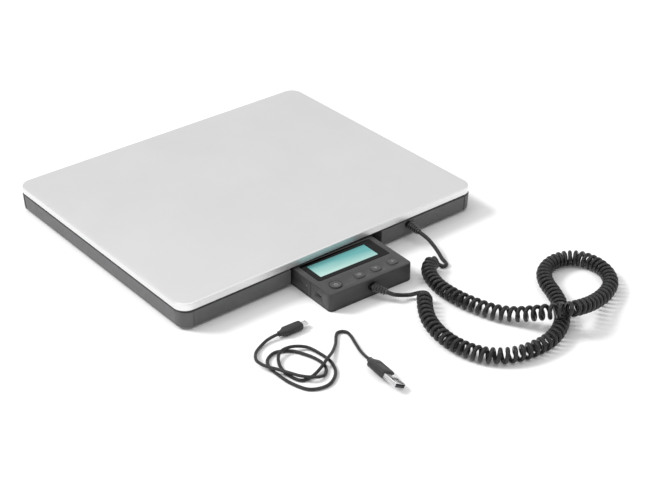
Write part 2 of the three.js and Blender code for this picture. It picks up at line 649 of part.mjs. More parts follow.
const USB_ROUTE = [
  [-128, -222.4, 4.2], [-136, -222.4, 3.2], [-146, -225.4, 2.2], [-154.6, -230.2, 2.4],
  [-161, -237, 3.8],
  [-166, -246.5, 5.2], [-165, -257, 5.4], [-159.6, -268.2, 5.4], [-154.2, -280, 5.4],
  [-149.4, -290, 5.4], [-142.8, -297.6, 5.2], [-134.6, -300.6, 3.4], [-127.4, -299, 1.8],
  [-121.6, -293.6, 1.7], [-118, -284, 1.7], [-119, -271, 1.7], [-122.6, -260.2, 1.7],
  [-127, -251.2, 1.7], [-134.1, -244.9, 1.7], [-142.5, -241.7, 1.7], [-154.2, -246.8, 1.7],
  [-159.9, -256.5, 1.7], [-161, -273, 1.7], [-159.4, -291, 1.7], [-152, -308.3, 1.7],
  [-135.8, -313.6, 1.7], [-119.5, -304.6, 1.7], [-111, -288.8, 1.7], [-110.2, -270.5, 1.7],
  [-114.8, -254.6, 3], [-128.6, -247.6, 5.2], [-141, -248.4, 5], [-148.8, -256.6, 2.6],
  [-153, -268, 1.7], [-153.6, -281.6, 1.7], [-149.6, -292.4, 1.7], [-139.4, -293.9, 1.7],
];
const USB_TAIL = [
  [-126.5, -290.9, 3.6], [-113, -284.6, 5.4], [-100.5, -276.6, 3.2], [-88.6, -266.4, 1.8],
  [-80.4, -257, 1.7], [-75.6, -253.4, 1.7], [-70.8, -254.6, 1.7], [-68.4, -258.6, 1.7],
  [-69, -264.2, 1.7], [-73.8, -277.5, 2], [-79.4, -292, 3], [-83.6, -304.6, 5.4],
];
const MICRO_PLUG = { x: -96.6, y: -223.6, z: 4.3, yaw: -2 };      // the front of its grip
const USB_A_PLUG = { x: -84.6, y: -311, z: 6.3, yaw: 263.7, roll: -28 };     // its back end

function fromUnit(point) {
  const up = new THREE.Vector3(0, 0, 1);
  const aligned = new THREE.Vector3(...point).applyAxisAngle(up, UNIT_YAW);
  return aligned.add(new THREE.Vector3(...UNIT_FRONT_LEFT, 0)).toArray();
}

const BASE_LEAD_WAY = [-0.02, -1, -0.1];
const UNIT_LEAD_WAY = [0.45, -1, -0.12];
const baseExit = [CORD_EXIT.x, -BASE.depth / 2 + PANEL_INSET, CORD_EXIT.z];
const unitExit = [UNIT_EXIT.x, 0, UNIT_EXIT.z];

// ---------- assembly ----------
const scale = new THREE.Group();
const base = new THREE.Group();
base.position.set(0, BASE_Y, 0);
scale.add(base);
const unit = new THREE.Group();
unit.position.set(UNIT_FRONT_LEFT[0], UNIT_FRONT_LEFT[1], 0);
unit.rotation.z = UNIT_YAW;
base.add(unit);

place(base, "platform_plate", platformPlate(), steel);
place(base, "support_frame", supportFrame(), frameAbs);
place(base, "base_housing", baseHousing(), baseAbs);
place(base, "junction_board", junctionBoard(), circuit);
footSpots().forEach(([x, y], i) => {
  place(base, `load_cell_${i + 1}`, loadCell(x, y), cellSteel);
  place(base, `foot_cup_${i + 1}`, footCup(x, y), frameAbs);
  place(base, `foot_pad_${i + 1}`, footPad(x, y), rubber);
});
BOSSES.forEach(([x, y], i) => {
  const screw = panScrew(x, y, SCREW.seat, 15, SCREW.shank, SCREW.head, SCREW.headHeight);
  place(base, `housing_screw_${i + 1}`, screw, zinc);
});
place(base, "base_cord_boot", strainRelief(baseExit, BASE_LEAD_WAY, BASE.wall + DRAFT), rubber);
place(base, "inner_cable", innerCable(), cordSheath);
place(base, "cord_clamp", cordClamp(), frameAbs);

// Each wire's bends on the floor, then the side of the board it meets and where.
const WIRE_WAYS = [
  {
    way: [[-106, -96], [-88, -76], [-50, -72], [0, -72], [50, -72], [64, -80], [66, -104]],
    end: -118,
    steps: 26,
  },
  { way: [], end: -106, steps: 9 },
  { way: [[128, 100], [134, 50], [134, 0], [134, -50], [134, -80]], end: -100, steps: 18 },
  {
    way: [
      [-118, 80], [-100, 30], [-84, -30], [-50, -62], [0, -66], [50, -66], [67, -76], [70, -90],
    ],
    end: -100,
    steps: 30,
  },
];
footSpots().forEach(([x, y], i) => {
  const { way, end, steps } = WIRE_WAYS[i];
  const wire = cellWire(x, y, way, Math.sign(x), end, steps);
  place(base, `cell_wire_${i + 1}`, wire, cordSheath);
});

place(unit, "display_top_case", unitTopCase(), unitAbs);
place(unit, "display_bottom_case", unitBottomCase(), unitAbs);
place(unit, "display_window", displayWindow(), smoked);
place(unit, "lcd_panel", lcdPanel(), lcdGlass);
place(unit, "keypad_mat", keypadMat(), silicone);
place(unit, "key_board", keyBoard(), circuit);
place(unit, "display_board", unitBoard(), circuit);
place(unit, "battery_pack", batteryPack(), foil);
place(unit, "usb_socket", usbSocket(), zinc);
place(unit, "charge_led", chargeLed(), lens);
UNIT_POSTS.forEach(([x, y], i) => place(unit, `display_screw_${i + 1}`, unitScrew(x, y), zinc));
place(unit, "power_key", powerKey(), keyAbs);
KEY_ROW.forEach((x, i) => place(unit, `function_key_${i + 1}`, squareKey(x), keyAbs));
place(unit, "display_cord_boot", strainRelief(unitExit, UNIT_LEAD_WAY, UNIT.wall), rubber);

// A lead starts just past its relief's tip, and keeps the relief's direction for a moment.
function leadFrom(exit, way, toBase, route) {
  const start = [reliefTip(exit, way, 0.5), reliefTip(exit, way, 2)];
  return [...start.map(toBase), ...route];
}
const asIs = (point) => point;
const baseLead = leadFrom(baseExit, BASE_LEAD_WAY, asIs, BASE_LEAD_ROUTE);
const displayLead = leadFrom(unitExit, UNIT_LEAD_WAY, fromUnit, DISPLAY_LEAD_ROUTE);
place(base, "base_lead", tube(baseLead, WIRE, 10), cordSheath);
place(base, "curly_coil", tube(COIL_ROUTE, COIL, 66, 8), cordSheath);
place(base, "display_lead", tube(displayLead, WIRE, 12), cordSheath);

// A point on a plug's middle line, measured along it from the plug's own reference.
function onPlug({ x, y, z, yaw }, along) {
  const angle = THREE.MathUtils.degToRad(yaw);
  return [x + along * Math.cos(angle), y + along * Math.sin(angle), z];
}
const usbRoute = [onPlug(MICRO_PLUG, -27.4), ...USB_ROUTE, ...USB_TAIL, onPlug(USB_A_PLUG, -0.4)];
place(base, "usb_cable", tube(usbRoute, USB_WIRE, 72), cordSheath);
place(base, "micro_usb_grip", setDown(microGrip(), MICRO_PLUG), rubber);
place(base, "micro_usb_tip", setDown(microTip(), MICRO_PLUG), zinc);
place(base, "usb_a_grip", setDown(usbAGrip(), USB_A_PLUG), rubber);
place(base, "usb_a_shell", setDown(usbAShell(), USB_A_PLUG), zinc);

export default scale;
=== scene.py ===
import json
import math

import bmesh
import bpy
from mathutils import Matrix, Vector


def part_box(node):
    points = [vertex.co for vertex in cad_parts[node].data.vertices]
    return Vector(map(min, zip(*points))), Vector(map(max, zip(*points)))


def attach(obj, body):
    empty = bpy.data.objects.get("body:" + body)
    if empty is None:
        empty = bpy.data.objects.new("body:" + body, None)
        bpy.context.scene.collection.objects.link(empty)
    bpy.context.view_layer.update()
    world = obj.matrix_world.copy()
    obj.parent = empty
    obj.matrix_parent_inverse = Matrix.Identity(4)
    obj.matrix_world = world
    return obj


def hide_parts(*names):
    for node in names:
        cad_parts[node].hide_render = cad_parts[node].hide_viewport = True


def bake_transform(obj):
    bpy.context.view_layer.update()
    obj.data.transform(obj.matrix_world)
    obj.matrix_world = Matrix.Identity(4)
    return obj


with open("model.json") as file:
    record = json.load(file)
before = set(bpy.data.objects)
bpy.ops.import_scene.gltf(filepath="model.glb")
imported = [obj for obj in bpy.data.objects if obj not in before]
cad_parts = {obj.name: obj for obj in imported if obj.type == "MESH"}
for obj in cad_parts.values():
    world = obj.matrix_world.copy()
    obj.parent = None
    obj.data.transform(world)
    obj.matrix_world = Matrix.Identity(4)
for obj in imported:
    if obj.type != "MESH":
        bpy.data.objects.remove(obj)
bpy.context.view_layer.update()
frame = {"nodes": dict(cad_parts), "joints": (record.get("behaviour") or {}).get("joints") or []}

# Blender works in metres. Shapes below are written in millimetres about the middle of the
# base, or about the display unit's front left corner, and BASE and UNIT place them.
MM = 0.001


def middle_of(node):
    low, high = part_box(node)
    return (low + high) / 2


def on_floor(point):
    return Matrix.Translation((point.x, point.y, 0))


plate_middle = middle_of("platform_plate")
BASE = on_floor(plate_middle) @ Matrix.Scale(MM, 4)
UNIT_SIZE = (102.5, 72, 20.6)
slide_line = next(joint for joint in frame["joints"] if joint["name"] == "display_slide")["axis"]
UNIT_TURN = Matrix.Rotation(-math.atan2(slide_line[0], slide_line[1]), 4, "Z")
UNIT_CORNER = Matrix.Translation((-UNIT_SIZE[0] / 2, -UNIT_SIZE[1] / 2, 0))
UNIT = on_floor(middle_of("display_top_case")) @ UNIT_TURN @ Matrix.Scale(MM, 4) @ UNIT_CORNER


# ---------- camera ----------
CAMERA_AZIMUTH = math.radians(-38.24)
CAMERA_ELEVATION = math.radians(30.99)
CAMERA_ROLL = math.radians(-0.67)
CAMERA_DISTANCE = 1.5984
CAMERA_LENS = 84.17
CAMERA_TARGET = Vector((19.97, -114.23, 0))


def make_camera():
    data = bpy.data.cameras.new("camera")
    data.lens = CAMERA_LENS
    camera = bpy.data.objects.new("camera", data)
    bpy.context.scene.collection.objects.link(camera)
    back = Vector((
        math.sin(CAMERA_AZIMUTH) * math.cos(CAMERA_ELEVATION),
        -math.cos(CAMERA_AZIMUTH) * math.cos(CAMERA_ELEVATION),
        math.sin(CAMERA_ELEVATION),
    ))
    look = (-back).to_track_quat("-Z", "Y") @ Matrix.Rotation(CAMERA_ROLL, 3, "Z").to_quaternion()
    camera.location = BASE @ CAMERA_TARGET + back * CAMERA_DISTANCE
    camera.rotation_mode = "QUATERNION"
    camera.rotation_quaternion = look
    bpy.context.scene.camera = camera


make_camera()


# ---------- mesh helpers ----------
CORNERS = ((1, 1), (-1, 1), (-1, -1), (1, -1))


def mesh_object(name, points, faces):
    mesh = bpy.data.meshes.new(name)
    mesh.from_pydata([tuple(point) for point in points], [], faces)
    work = bmesh.new()
    work.from_mesh(mesh)
    bmesh.ops.recalc_face_normals(work, faces=work.faces)
    work.to_mesh(mesh)
    work.free()
    piece = bpy.data.objects.new(name, mesh)
    bpy.context.scene.collection.objects.link(piece)
    return piece


def loft(name, loops, place):
    """A closed body through loops of as many points each, with a flat cap at either end."""
    count = len(loops[0])
    faces = []
    for ring in range(len(loops) - 1):
        low, high = ring * count, (ring + 1) * count
        for i in range(count):
            j = (i + 1) % count
            faces.append([low + i, low + j, high + j, high + i])
    last = (len(loops) - 1) * count
    faces.append(list(range(count))[::-1])
    faces.append(list(range(last, last + count)))
    return mesh_object(name, [place @ Vector(p) for loop in loops for p in loop], faces)


def rounded_rect(width, depth, radius, inset=0.0, arc=8, centre=(0, 0)):
    """The outline of a rounded rectangle, drawn in by an inset, anticlockwise."""
    radius = max(radius, inset + 0.02)
    points = []
    for corner, (sx, sy) in enumerate(CORNERS):
        cx = centre[0] + sx * (width / 2 - radius)
        cy = centre[1] + sy * (depth / 2 - radius)
        for i in range(arc + 1):
            angle = (corner + i / arc) * math.pi / 2
            reach = radius - inset
            points.append((cx + reach * math.cos(angle), cy + reach * math.sin(angle)))
    return points


def quarter(inset, height, radius, steps=5, down=False):
    """A rounded edge as pairs of inset and height, from the wall over onto the flat."""
    pairs = []
    for i in range(steps + 1):
        angle = i / steps * math.pi / 2
        rise = radius * math.sin(angle)
        level = height - rise if down else height + rise
        pairs.append((inset + radius * (1 - math.cos(angle)), level))
    return pairs


def slab(name, width, depth, radius, profile, place, centre=(0, 0), arc=8):
    """A rounded rectangle carried through pairs of inset and height."""
    loops = []
    for inset, height in profile:
        outline = rounded_rect(width, depth, radius, inset, arc, centre)
        loops.append([(x, y, height) for x, y in outline])
    return loft(name, loops, place)


def turned(name, profile, place, sides=32):
    """A turned body from pairs of radius and height; its first and last radius are caps."""
    loops = []
    for radius, height in profile:
        angles = [2 * math.pi * i / sides for i in range(sides)]
        loops.append([(radius * math.cos(a), radius * math.sin(a), height) for a in angles])
    return loft(name, loops, place)


def block(x0, x1, y0, y1, z0, z1, place):
    corners = [(x0, y0), (x1, y0), (x1, y1), (x0, y1)]
    return loft("cutter", [[(x, y, z) for x, y in corners] for z in (z0, z1)], place)


def rod(radius, z0, z1, x, y, place, sides=32):
    spot = place @ Matrix.Translation((x, y, 0))
    return turned("cutter", [(radius, z0), (radius, z1)], spot, sides)


def combine(piece, others, operation):
    """Cuts the other bodies from a piece, or joins them to it, and removes them."""
    for other in others:
        modifier = piece.modifiers.new("combine", "BOOLEAN")
        modifier.object = other
        modifier.operation = operation
        modifier.solver = "MANIFOLD"
    apply_modifiers(piece)
    for other in others:
        bpy.data.objects.remove(other)
    return piece


def apply_modifiers(piece):
    graph = bpy.context.evaluated_depsgraph_get()
    made = bpy.data.meshes.new_from_object(piece.evaluated_get(graph))
    piece.modifiers.clear()
    piece.data = made


def soften(piece, width, angle=35, segments=2):
    """Rounds a piece's sharp edges by a small radius, given in millimetres."""
    work = bmesh.new()
    work.from_mesh(piece.data)
    bmesh.ops.remove_doubles(work, verts=work.verts, dist=2e-6)
    bmesh.ops.dissolve_limit(work, angle_limit=math.radians(0.5), verts=work.verts, edges=work.edges)
    work.to_mesh(piece.data)
    work.free()
    bevel = piece.modifiers.new("edges", "BEVEL")
    bevel.width = width * MM
    bevel.segments = segments
    bevel.limit_method = "ANGLE"
    bevel.angle_limit = math.radians(angle)
    bevel.use_clamp_overlap = True
    apply_modifiers(piece)
    return piece


def shade(piece, angle=32):
    piece.data.shade_smooth()
    piece.data.set_sharp_from_angle(angle=math.radians(angle))
    return piece


# ---------- paths ----------
def spline(points, step):
    """Points along a centripetal Catmull-Rom curve through the points given, a step apart."""
    points = [Vector(point) for point in points]
    ends = [2 * points[0] - points[1], *points, 2 * points[-1] - points[-2]]
    curve = []
    for p0, p1, p2, p3 in zip(ends, ends[1:], ends[2:], ends[3:]):
        d0, d1, d2 = (math.sqrt((b - a).length) for a, b in ((p0, p1), (p1, p2), (p2, p3)))
        leave = ((p1 - p0) / d0 - (p2 - p0) / (d0 + d1) + (p2 - p1) / d1) * d1
        arrive = ((p2 - p1) / d1 - (p3 - p1) / (d1 + d2) + (p3 - p2) / d2) * d1
        count = max(2, round((p2 - p1).length / step))
        for k in range(count):
            u = k / count
            start = (1 + 2 * u) * (1 - u) ** 2 * p1 + u * (1 - u) ** 2 * leave
            curve.append(start + u * u * (3 - 2 * u) * p2 + u * u * (u - 1) * arrive)
    curve.append(points[-1])
    return curve


def frames_along(path, side):
    """A direction, a side and a third axis at each point, turning no more than the path does."""
    ways = [(b - a).normalized() for a, b in zip(path, path[1:])]
    ways = [ways[0]] + [(a + b).normalized() for a, b in zip(ways, ways[1:])] + [ways[-1]]
    side = (side - side.dot(ways[0]) * ways[0]).normalized()
    axes = [(ways[0], side, ways[0].cross(side))]
    for before, way in zip(ways, ways[1:]):
        side = before.rotation_difference(way) @ side
        side = (side - side.dot(way) * way).normalized()
        axes.append((way, side, way.cross(side)))
    return axes


def smoothed(path, middle, reach, passes):
    """The path eased near one of its points, and less and less away from it."""
    path = list(path)
    for window in range(reach, 0, -1):
        low, high = max(1, middle - window), min(len(path) - 1, middle + window)
        for _ in range(passes):
            eased = [(path[i - 1] + path[i] * 2 + path[i + 1]) / 4 for i in range(low, high)]
            path[low:high] = eased
    return path


def tube(name, path, radius, sides=12):
    """A round tube along a path in metres, its ends closed flat."""
    loops = []
    for point, (_, side, third) in zip(path, frames_along(path, Vector((0.13, 0.21, 1)))):
        angles = [2 * math.pi * i / sides for i in range(sides)]
        loops.append([point + radius * (math.cos(a) * side + math.sin(a) * third) for a in angles])
    piece = loft(name, loops, Matrix.Identity(4))
    piece.data.shade_smooth()
    piece.data.set_sharp_from_angle(angle=math.radians(60))
    return piece


# ---------- cords ----------
# Routes are on each cord's middle line, in metres, about the middle of the base.
SHIFT = Vector((plate_middle.x, plate_middle.y, 0))
WIRE = 0.0042
COIL = 0.0162
USB_WIRE = 0.0032
USB_STEP = 0.002
# The strain reliefs are in millimetres: where the first rib begins and the pitch of the ribs,
# then radii, of which the ribs' falls by the taper from the first rib to the last.
RELIEF = {
    "first": 2.4, "pitch": 2.8, "ribs": 5,
    "neck": 3.7, "flange": 5.6, "root": 3.4, "rib": 4.8, "taper": 0.9, "tip": 2.45,
}
RELIEF_LENGTH = RELIEF["first"] + RELIEF["ribs"] * RELIEF["pitch"] + 1
# Each lead runs straight on through points so many millimetres past its strain relief.
PAST_RELIEF = (0.5, 2)
BASE_EXIT = (96.7, -159.8, 15.5)
BASE_LEAD_WAY = (-0.02, -1, -0.1)
UNIT_EXIT = (51.25, 0, 11.8)
UNIT_LEAD_WAY = (0.45, -1, -0.12)

BASE_LEAD_ROUTE = [
    (0.0975, -0.1878, 0.0110), (0.0957, -0.1998, 0.0085), (0.0928, -0.2116, 0.0055),
    (0.0903, -0.2194, 0.0035), (0.0896, -0.2244, 0.0025), (0.0878, -0.2286, 0.0022),
    (0.0836, -0.2304, 0.0022), (0.0810, -0.2298, 0.0022), (0.0790, -0.2280, 0.0022),
    (0.0776, -0.2244, 0.0022),
]
COIL_ROUTE = [
    (0.0776, -0.2244, 0.0083), (0.0726, -0.2242, 0.0083), (0.0665, -0.2268, 0.0083),
    (0.0598, -0.2328, 0.0083), (0.0542, -0.2415, 0.0083), (0.0496, -0.2531, 0.0083),
    (0.0468, -0.2675, 0.0083), (0.0482, -0.2938, 0.0083), (0.0521, -0.3115, 0.0083),
    (0.0578, -0.3292, 0.0084), (0.0662, -0.3445, 0.0098), (0.0752, -0.3615, 0.0154),
    (0.0824, -0.3774, 0.0226), (0.0935, -0.3896, 0.0262), (0.1154, -0.3894, 0.0208),
    (0.1416, -0.3830, 0.0130), (0.1668, -0.3746, 0.0088), (0.1841, -0.3644, 0.0083),
    (0.1955, -0.3465, 0.0083), (0.1978, -0.3273, 0.0083), (0.1928, -0.3126, 0.0083),
    (0.1807, -0.3036, 0.0083), (0.1648, -0.3021, 0.0083), (0.1472, -0.3092, 0.0083),
    (0.1347, -0.3237, 0.0083), (0.1270, -0.3407, 0.0083), (0.1196, -0.3548, 0.0083),
    (0.1097, -0.3687, 0.0083), (0.0979, -0.3810, 0.0083), (0.0832, -0.3905, 0.0083),
    (0.0653, -0.3969, 0.0083), (0.0461, -0.3979, 0.0083), (0.0272, -0.3946, 0.0083),
    (0.0116, -0.3868, 0.0083), (0.0004, -0.3751, 0.0083), (-0.0067, -0.3584, 0.0083),
    (-0.0093, -0.3391, 0.0083), (-0.0066, -0.3178, 0.0083), (0.0005, -0.2983, 0.0083),
    (0.0112, -0.2815, 0.0083), (0.0199, -0.2710, 0.0083), (0.0270, -0.2625, 0.0083),
]
# The distance from one turn to the next, at points of the coil's route: it lies close at its
# ends and is drawn out where it hangs over the hump and along the front.
COIL_PITCH = [
    (0, 0.0058), (3, 0.0064), (6, 0.0078), (9, 0.0084), (14, 0.0081), (17, 0.0064),
    (21, 0.0057), (24, 0.0062), (28, 0.0068), (31, 0.0076), (35, 0.0070), (38, 0.0073),
    (41, 0.0076),
]
DISPLAY_LEAD_ROUTE = [
    (0.0023, -0.2448, 0.0087), (0.0084, -0.2472, 0.0066), (0.0148, -0.2490, 0.0049),
    (0.0196, -0.2514, 0.0045), (0.0226, -0.2550, 0.0060), (0.0228, -0.2588, 0.0083),
]
TURN_POINTS = 16
STEP = 0.0012
# Where a lead meets the coil, so many points are left out at each side, and the joint is eased
# over so many points, so many times.
JOIN_GAP = 2
JOIN_REACH = 9
JOIN_PASSES = 3
# From this point of its route on, the coil follows the display unit.
SPLIT = 33


def along_relief(exit_point, way, beyond, place):
    """A point on a strain relief's line, some millimetres past its tip, in metres."""
    point = Vector(exit_point) + Vector(way).normalized() * (RELIEF_LENGTH + beyond)
    return place @ point


def pitch_at(place):
    for (a, low), (b, high) in zip(COIL_PITCH, COIL_PITCH[1:]):
        if place <= b:
            return low + (high - low) * (place - a) / (b - a)
    return COIL_PITCH[-1][1]


def helix(core, side, end_side):
    """The wire's path round the coil's middle line, from one side of it to another."""
    axes = frames_along(core, side)
    share = (len(COIL_ROUTE) - 1) / (len(core) - 1)
    turns = [0.0]
    for i in range(1, len(core)):
        turns.append(turns[-1] + (core[i] - core[i - 1]).length / pitch_at(i * share))
    _, last_side, last_third = axes[-1]
    last = math.atan2(end_side.dot(last_third), end_side.dot(last_side)) / (2 * math.pi)
    whole = round(turns[-1] + last)
    stretch = (whole - last) / turns[-1]
    path = []
    reach = (COIL - WIRE) / 2
    at = 0
    count = round(turns[-1] * stretch * TURN_POINTS)
    for k in range(count + 1):
        wanted = turns[-1] * k / count
        while at < len(core) - 2 and turns[at + 1] < wanted:
            at += 1
        u = (wanted - turns[at]) / (turns[at + 1] - turns[at])
        angle = -wanted * stretch * 2 * math.pi
        centre = core[at].lerp(core[at + 1], u)
        near = axes[at][1].lerp(axes[at + 1][1], u)
        third = axes[at][2].lerp(axes[at + 1][2], u)
        path.append(centre + reach * (math.cos(angle) * near + math.sin(angle) * third))
    return path, [turn * stretch * TURN_POINTS for turn in turns]


def curly_path():
    """The whole wire from the base to the display unit, and where its turns are split."""
    core = [SHIFT + point for point in spline(COIL_ROUTE, STEP)]
    first = Vector(BASE_LEAD_ROUTE[-1]) + SHIFT - core[0]
    last = Vector(DISPLAY_LEAD_ROUTE[-1]) + SHIFT - core[-1]
    coil, places = helix(core, first, last)
    lead_in = [along_relief(BASE_EXIT, BASE_LEAD_WAY, past, BASE) for past in PAST_RELIEF]
    lead_in += [Vector(point) + SHIFT for point in BASE_LEAD_ROUTE]
    lead_out = [along_relief(UNIT_EXIT, UNIT_LEAD_WAY, past, UNIT) for past in PAST_RELIEF]
    lead_out += [Vector(point) + SHIFT for point in DISPLAY_LEAD_ROUTE]
    before = spline(lead_in, STEP)[:-JOIN_GAP]
    after = spline(lead_out, STEP)[:-JOIN_GAP][::-1]
    path = before + coil[JOIN_GAP:-JOIN_GAP] + after
    path = smoothed(path, len(before), JOIN_REACH, JOIN_PASSES)
    path = smoothed(path, len(path) - len(after), JOIN_REACH, JOIN_PASSES)
    split_point = SHIFT + Vector(COIL_ROUTE[SPLIT])
    nearest = min(range(len(core)), key=lambda i: (core[i] - split_point).length)
    return path, len(before) + round(places[nearest])


wire_path, split = curly_path()
near_path = wire_path[:split + 1]
far_path = wire_path[split:][::-1]
curly_cord = tube("curly_cord", near_path, WIRE / 2)
display_cord = tube("curly_cord_display_end", far_path, WIRE / 2)

USB_ROUTE = [
    (-0.1280, -0.2224, 0.0042), (-0.1360, -0.2224, 0.0032), (-0.1460, -0.2254, 0.0022),
    (-0.1546, -0.2302, 0.0024), (-0.1610, -0.2370, 0.0038), (-0.1660, -0.2465, 0.0052),
    (-0.1650, -0.2570, 0.0054), (-0.1596, -0.2682, 0.0054), (-0.1542, -0.2800, 0.0054),
    (-0.1494, -0.2900, 0.0054), (-0.1428, -0.2976, 0.0052), (-0.1346, -0.3006, 0.0034),
    (-0.1274, -0.2990, 0.0018), (-0.1216, -0.2936, 0.0017), (-0.1180, -0.2840, 0.0017),
    (-0.1190, -0.2710, 0.0017), (-0.1226, -0.2602, 0.0017), (-0.1270, -0.2512, 0.0017),
    (-0.1341, -0.2449, 0.0017), (-0.1425, -0.2417, 0.0017), (-0.1542, -0.2468, 0.0017),
    (-0.1599, -0.2565, 0.0017), (-0.1610, -0.2730, 0.0017), (-0.1594, -0.2910, 0.0017),
    (-0.1520, -0.3083, 0.0017), (-0.1358, -0.3136, 0.0017), (-0.1195, -0.3046, 0.0017),
    (-0.1110, -0.2888, 0.0017), (-0.1102, -0.2705, 0.0017), (-0.1148, -0.2546, 0.0030),
    (-0.1286, -0.2476, 0.0052), (-0.1410, -0.2484, 0.0050), (-0.1488, -0.2566, 0.0026),
    (-0.1530, -0.2680, 0.0017), (-0.1536, -0.2816, 0.0017), (-0.1496, -0.2924, 0.0017),
    (-0.1394, -0.2939, 0.0017), (-0.1265, -0.2909, 0.0036), (-0.1130, -0.2846, 0.0054),
    (-0.1005, -0.2766, 0.0032), (-0.0886, -0.2664, 0.0018), (-0.0804, -0.2570, 0.0017),
    (-0.0756, -0.2534, 0.0017), (-0.0708, -0.2546, 0.0017), (-0.0684, -0.2586, 0.0017),
    (-0.0690, -0.2642, 0.0017), (-0.0738, -0.2775, 0.0020), (-0.0794, -0.2920, 0.0030),
    (-0.0836, -0.3046, 0.0054),
]


def plug_place(x, y, z, yaw, roll=0):
    turn = Matrix.Rotation(math.radians(yaw), 4, "Z") @ Matrix.Rotation(math.radians(roll), 4, "X")
    return BASE @ Matrix.Translation((x, y, z)) @ turn


MICRO = plug_place(-96.6, -223.6, 4.3, -2)
MICRO_GRIP_END = -27
USB_GAP = 0.4
USB_A = plug_place(-84.6, -311, 6.3, 263.7, -28)
usb_points = [MICRO @ Vector((MICRO_GRIP_END - USB_GAP, 0, 0))]
usb_points += [SHIFT + Vector(point) for point in USB_ROUTE]
usb_points += [USB_A @ Vector((-USB_GAP, 0, 0))]
usb_path = spline(usb_points, USB_STEP)
usb_cable = tube("charging_cable", usb_path, USB_WIRE / 2)


# ---------- floor and light ----------
def make_floor():
    reach = 4.0
    sheet = mesh_object("floor", [(x * reach, y * reach, 0) for x, y in CORNERS], [[0, 1, 2, 3]])
    return sheet


def aim(data, azimuth, elevation, distance):
    """Places a light in a direction given in degrees, turned to the object's middle."""
    light = bpy.data.objects.new(data.name, data)
    bpy.context.scene.collection.objects.link(light)
    a, e = math.radians(azimuth), math.radians(elevation)
    way = Vector((math.sin(a) * math.cos(e), -math.cos(a) * math.cos(e), math.sin(e)))
    light.location = way * distance
    light.rotation_mode = "QUATERNION"
    light.rotation_quaternion = (-way).to_track_quat("-Z", "Y")
    return light


def soft_box(name, azimuth, elevation, distance, width, height, power):
    data = bpy.data.lights.new(name, "AREA")
    data.shape = "RECTANGLE"
    data.size = width
    data.size_y = height
    data.energy = power
    aim(data, azimuth, elevation, distance)


def key_light(azimuth, elevation, strength, spread):
    """The main light, even over the whole floor. It leaves no glare on the steel."""
    data = bpy.data.lights.new("key_light", "SUN")
    data.energy = strength
    data.angle = math.radians(spread)
    light = aim(data, azimuth, elevation, 3.0)
    light.visible_glossy = False


def make_world():
    world = bpy.data.worlds.new("studio")
    bpy.context.scene.world = world
    world.use_nodes = True
    world.node_tree.nodes["Background"].inputs["Color"].default_value = (0.85, 0.85, 0.85, 1)
    bpy.context.scene.view_settings.view_transform = "Standard"


floor = make_floor()
make_world()
key_light(azimuth=-142, elevation=40, strength=3.2, spread=20)
soft_box("top_light", azimuth=-120, elevation=68, distance=1.6, width=1.2, height=0.8, power=5)
soft_box("side_light", azimuth=-78, elevation=16, distance=1.8, width=1.2, height=0.7, power=1.5)
soft_box("front_light", azimuth=20, elevation=62, distance=1.8, width=0.5, height=0.5, power=3)


# ---------- finishes ----------
FINISHES = {}


class Finish:
    """A procedural material: one Principled shader, with detail added to it by nodes."""

    def __init__(self, name, colour, roughness, metallic=0.0, **sockets):
        material = bpy.data.materials.new(name)
        material.use_nodes = True
        FINISHES[name] = material
        self.tree = material.node_tree
        self.shader = self.tree.nodes["Principled BSDF"]
        self.place = self.tree.nodes.new("ShaderNodeTexCoord").outputs["Object"]
        self.colour = colour
        self.set("Base Color", (*colour, 1))
        self.set("Roughness", roughness)
        self.set("Metallic", metallic)
        self.bump = None
        for socket, value in sockets.items():
            self.set(socket.replace("_", " "), value)

    def set(self, socket, value):
        self.shader.inputs[socket].default_value = value

    def link(self, output, node, socket):
        self.tree.links.new(output, node.inputs[socket])

    def noise(self, size, detail=3.0, stretch=(1, 1, 1), turn=0.0):
        """Noise whose grains are about a size in millimetres, longer where it is stretched."""
        mapping = self.tree.nodes.new("ShaderNodeMapping")
        mapping.inputs["Scale"].default_value = [1 / (size * MM * s) for s in stretch]
        mapping.inputs["Rotation"].default_value = (0, 0, turn)
        self.link(self.place, mapping, "Vector")
        noise = self.tree.nodes.new("ShaderNodeTexNoise")
        noise.inputs["Scale"].default_value = 1.0
        noise.inputs["Detail"].default_value = detail
        self.link(mapping.outputs["Vector"], noise, "Vector")
        return noise.outputs["Fac"]

    def ramp(self, fac, low, high, start=0.3, end=0.7):
        ramp = self.tree.nodes.new("ShaderNodeValToRGB")
        for element, at, colour in zip(ramp.color_ramp.elements, (start, end), (low, high)):
            element.position = at
            element.color = (*colour, 1)
        self.link(fac, ramp, "Fac")
        return ramp.outputs["Color"]

    def mottle(self, size, spread, **noise):
        """Slight changes of colour over the surface."""
        low = [c * (1 - spread) for c in self.colour]
        high = [min(1, c * (1 + spread)) for c in self.colour]
        self.link(self.ramp(self.noise(size, **noise), low, high), self.shader, "Base Color")
        return self

    def wear(self, size, low, high, **noise):
        """Changes of roughness over the surface."""
        spread = self.ramp(self.noise(size, **noise), (low,) * 3, (high,) * 3)
        self.link(spread, self.shader, "Roughness")
        return self

    def grain(self, size, depth, **noise):
        """Fine relief: grains of a size and a depth in millimetres."""
        bump = self.tree.nodes.new("ShaderNodeBump")
        bump.inputs["Strength"].default_value = 1.0
        bump.inputs["Distance"].default_value = depth * MM
        self.link(self.noise(size, **noise), bump, "Height")
        if self.bump:
            self.link(self.bump, bump, "Normal")
        self.bump = bump.outputs["Normal"]
        self.link(self.bump, self.shader, "Normal")
        return self


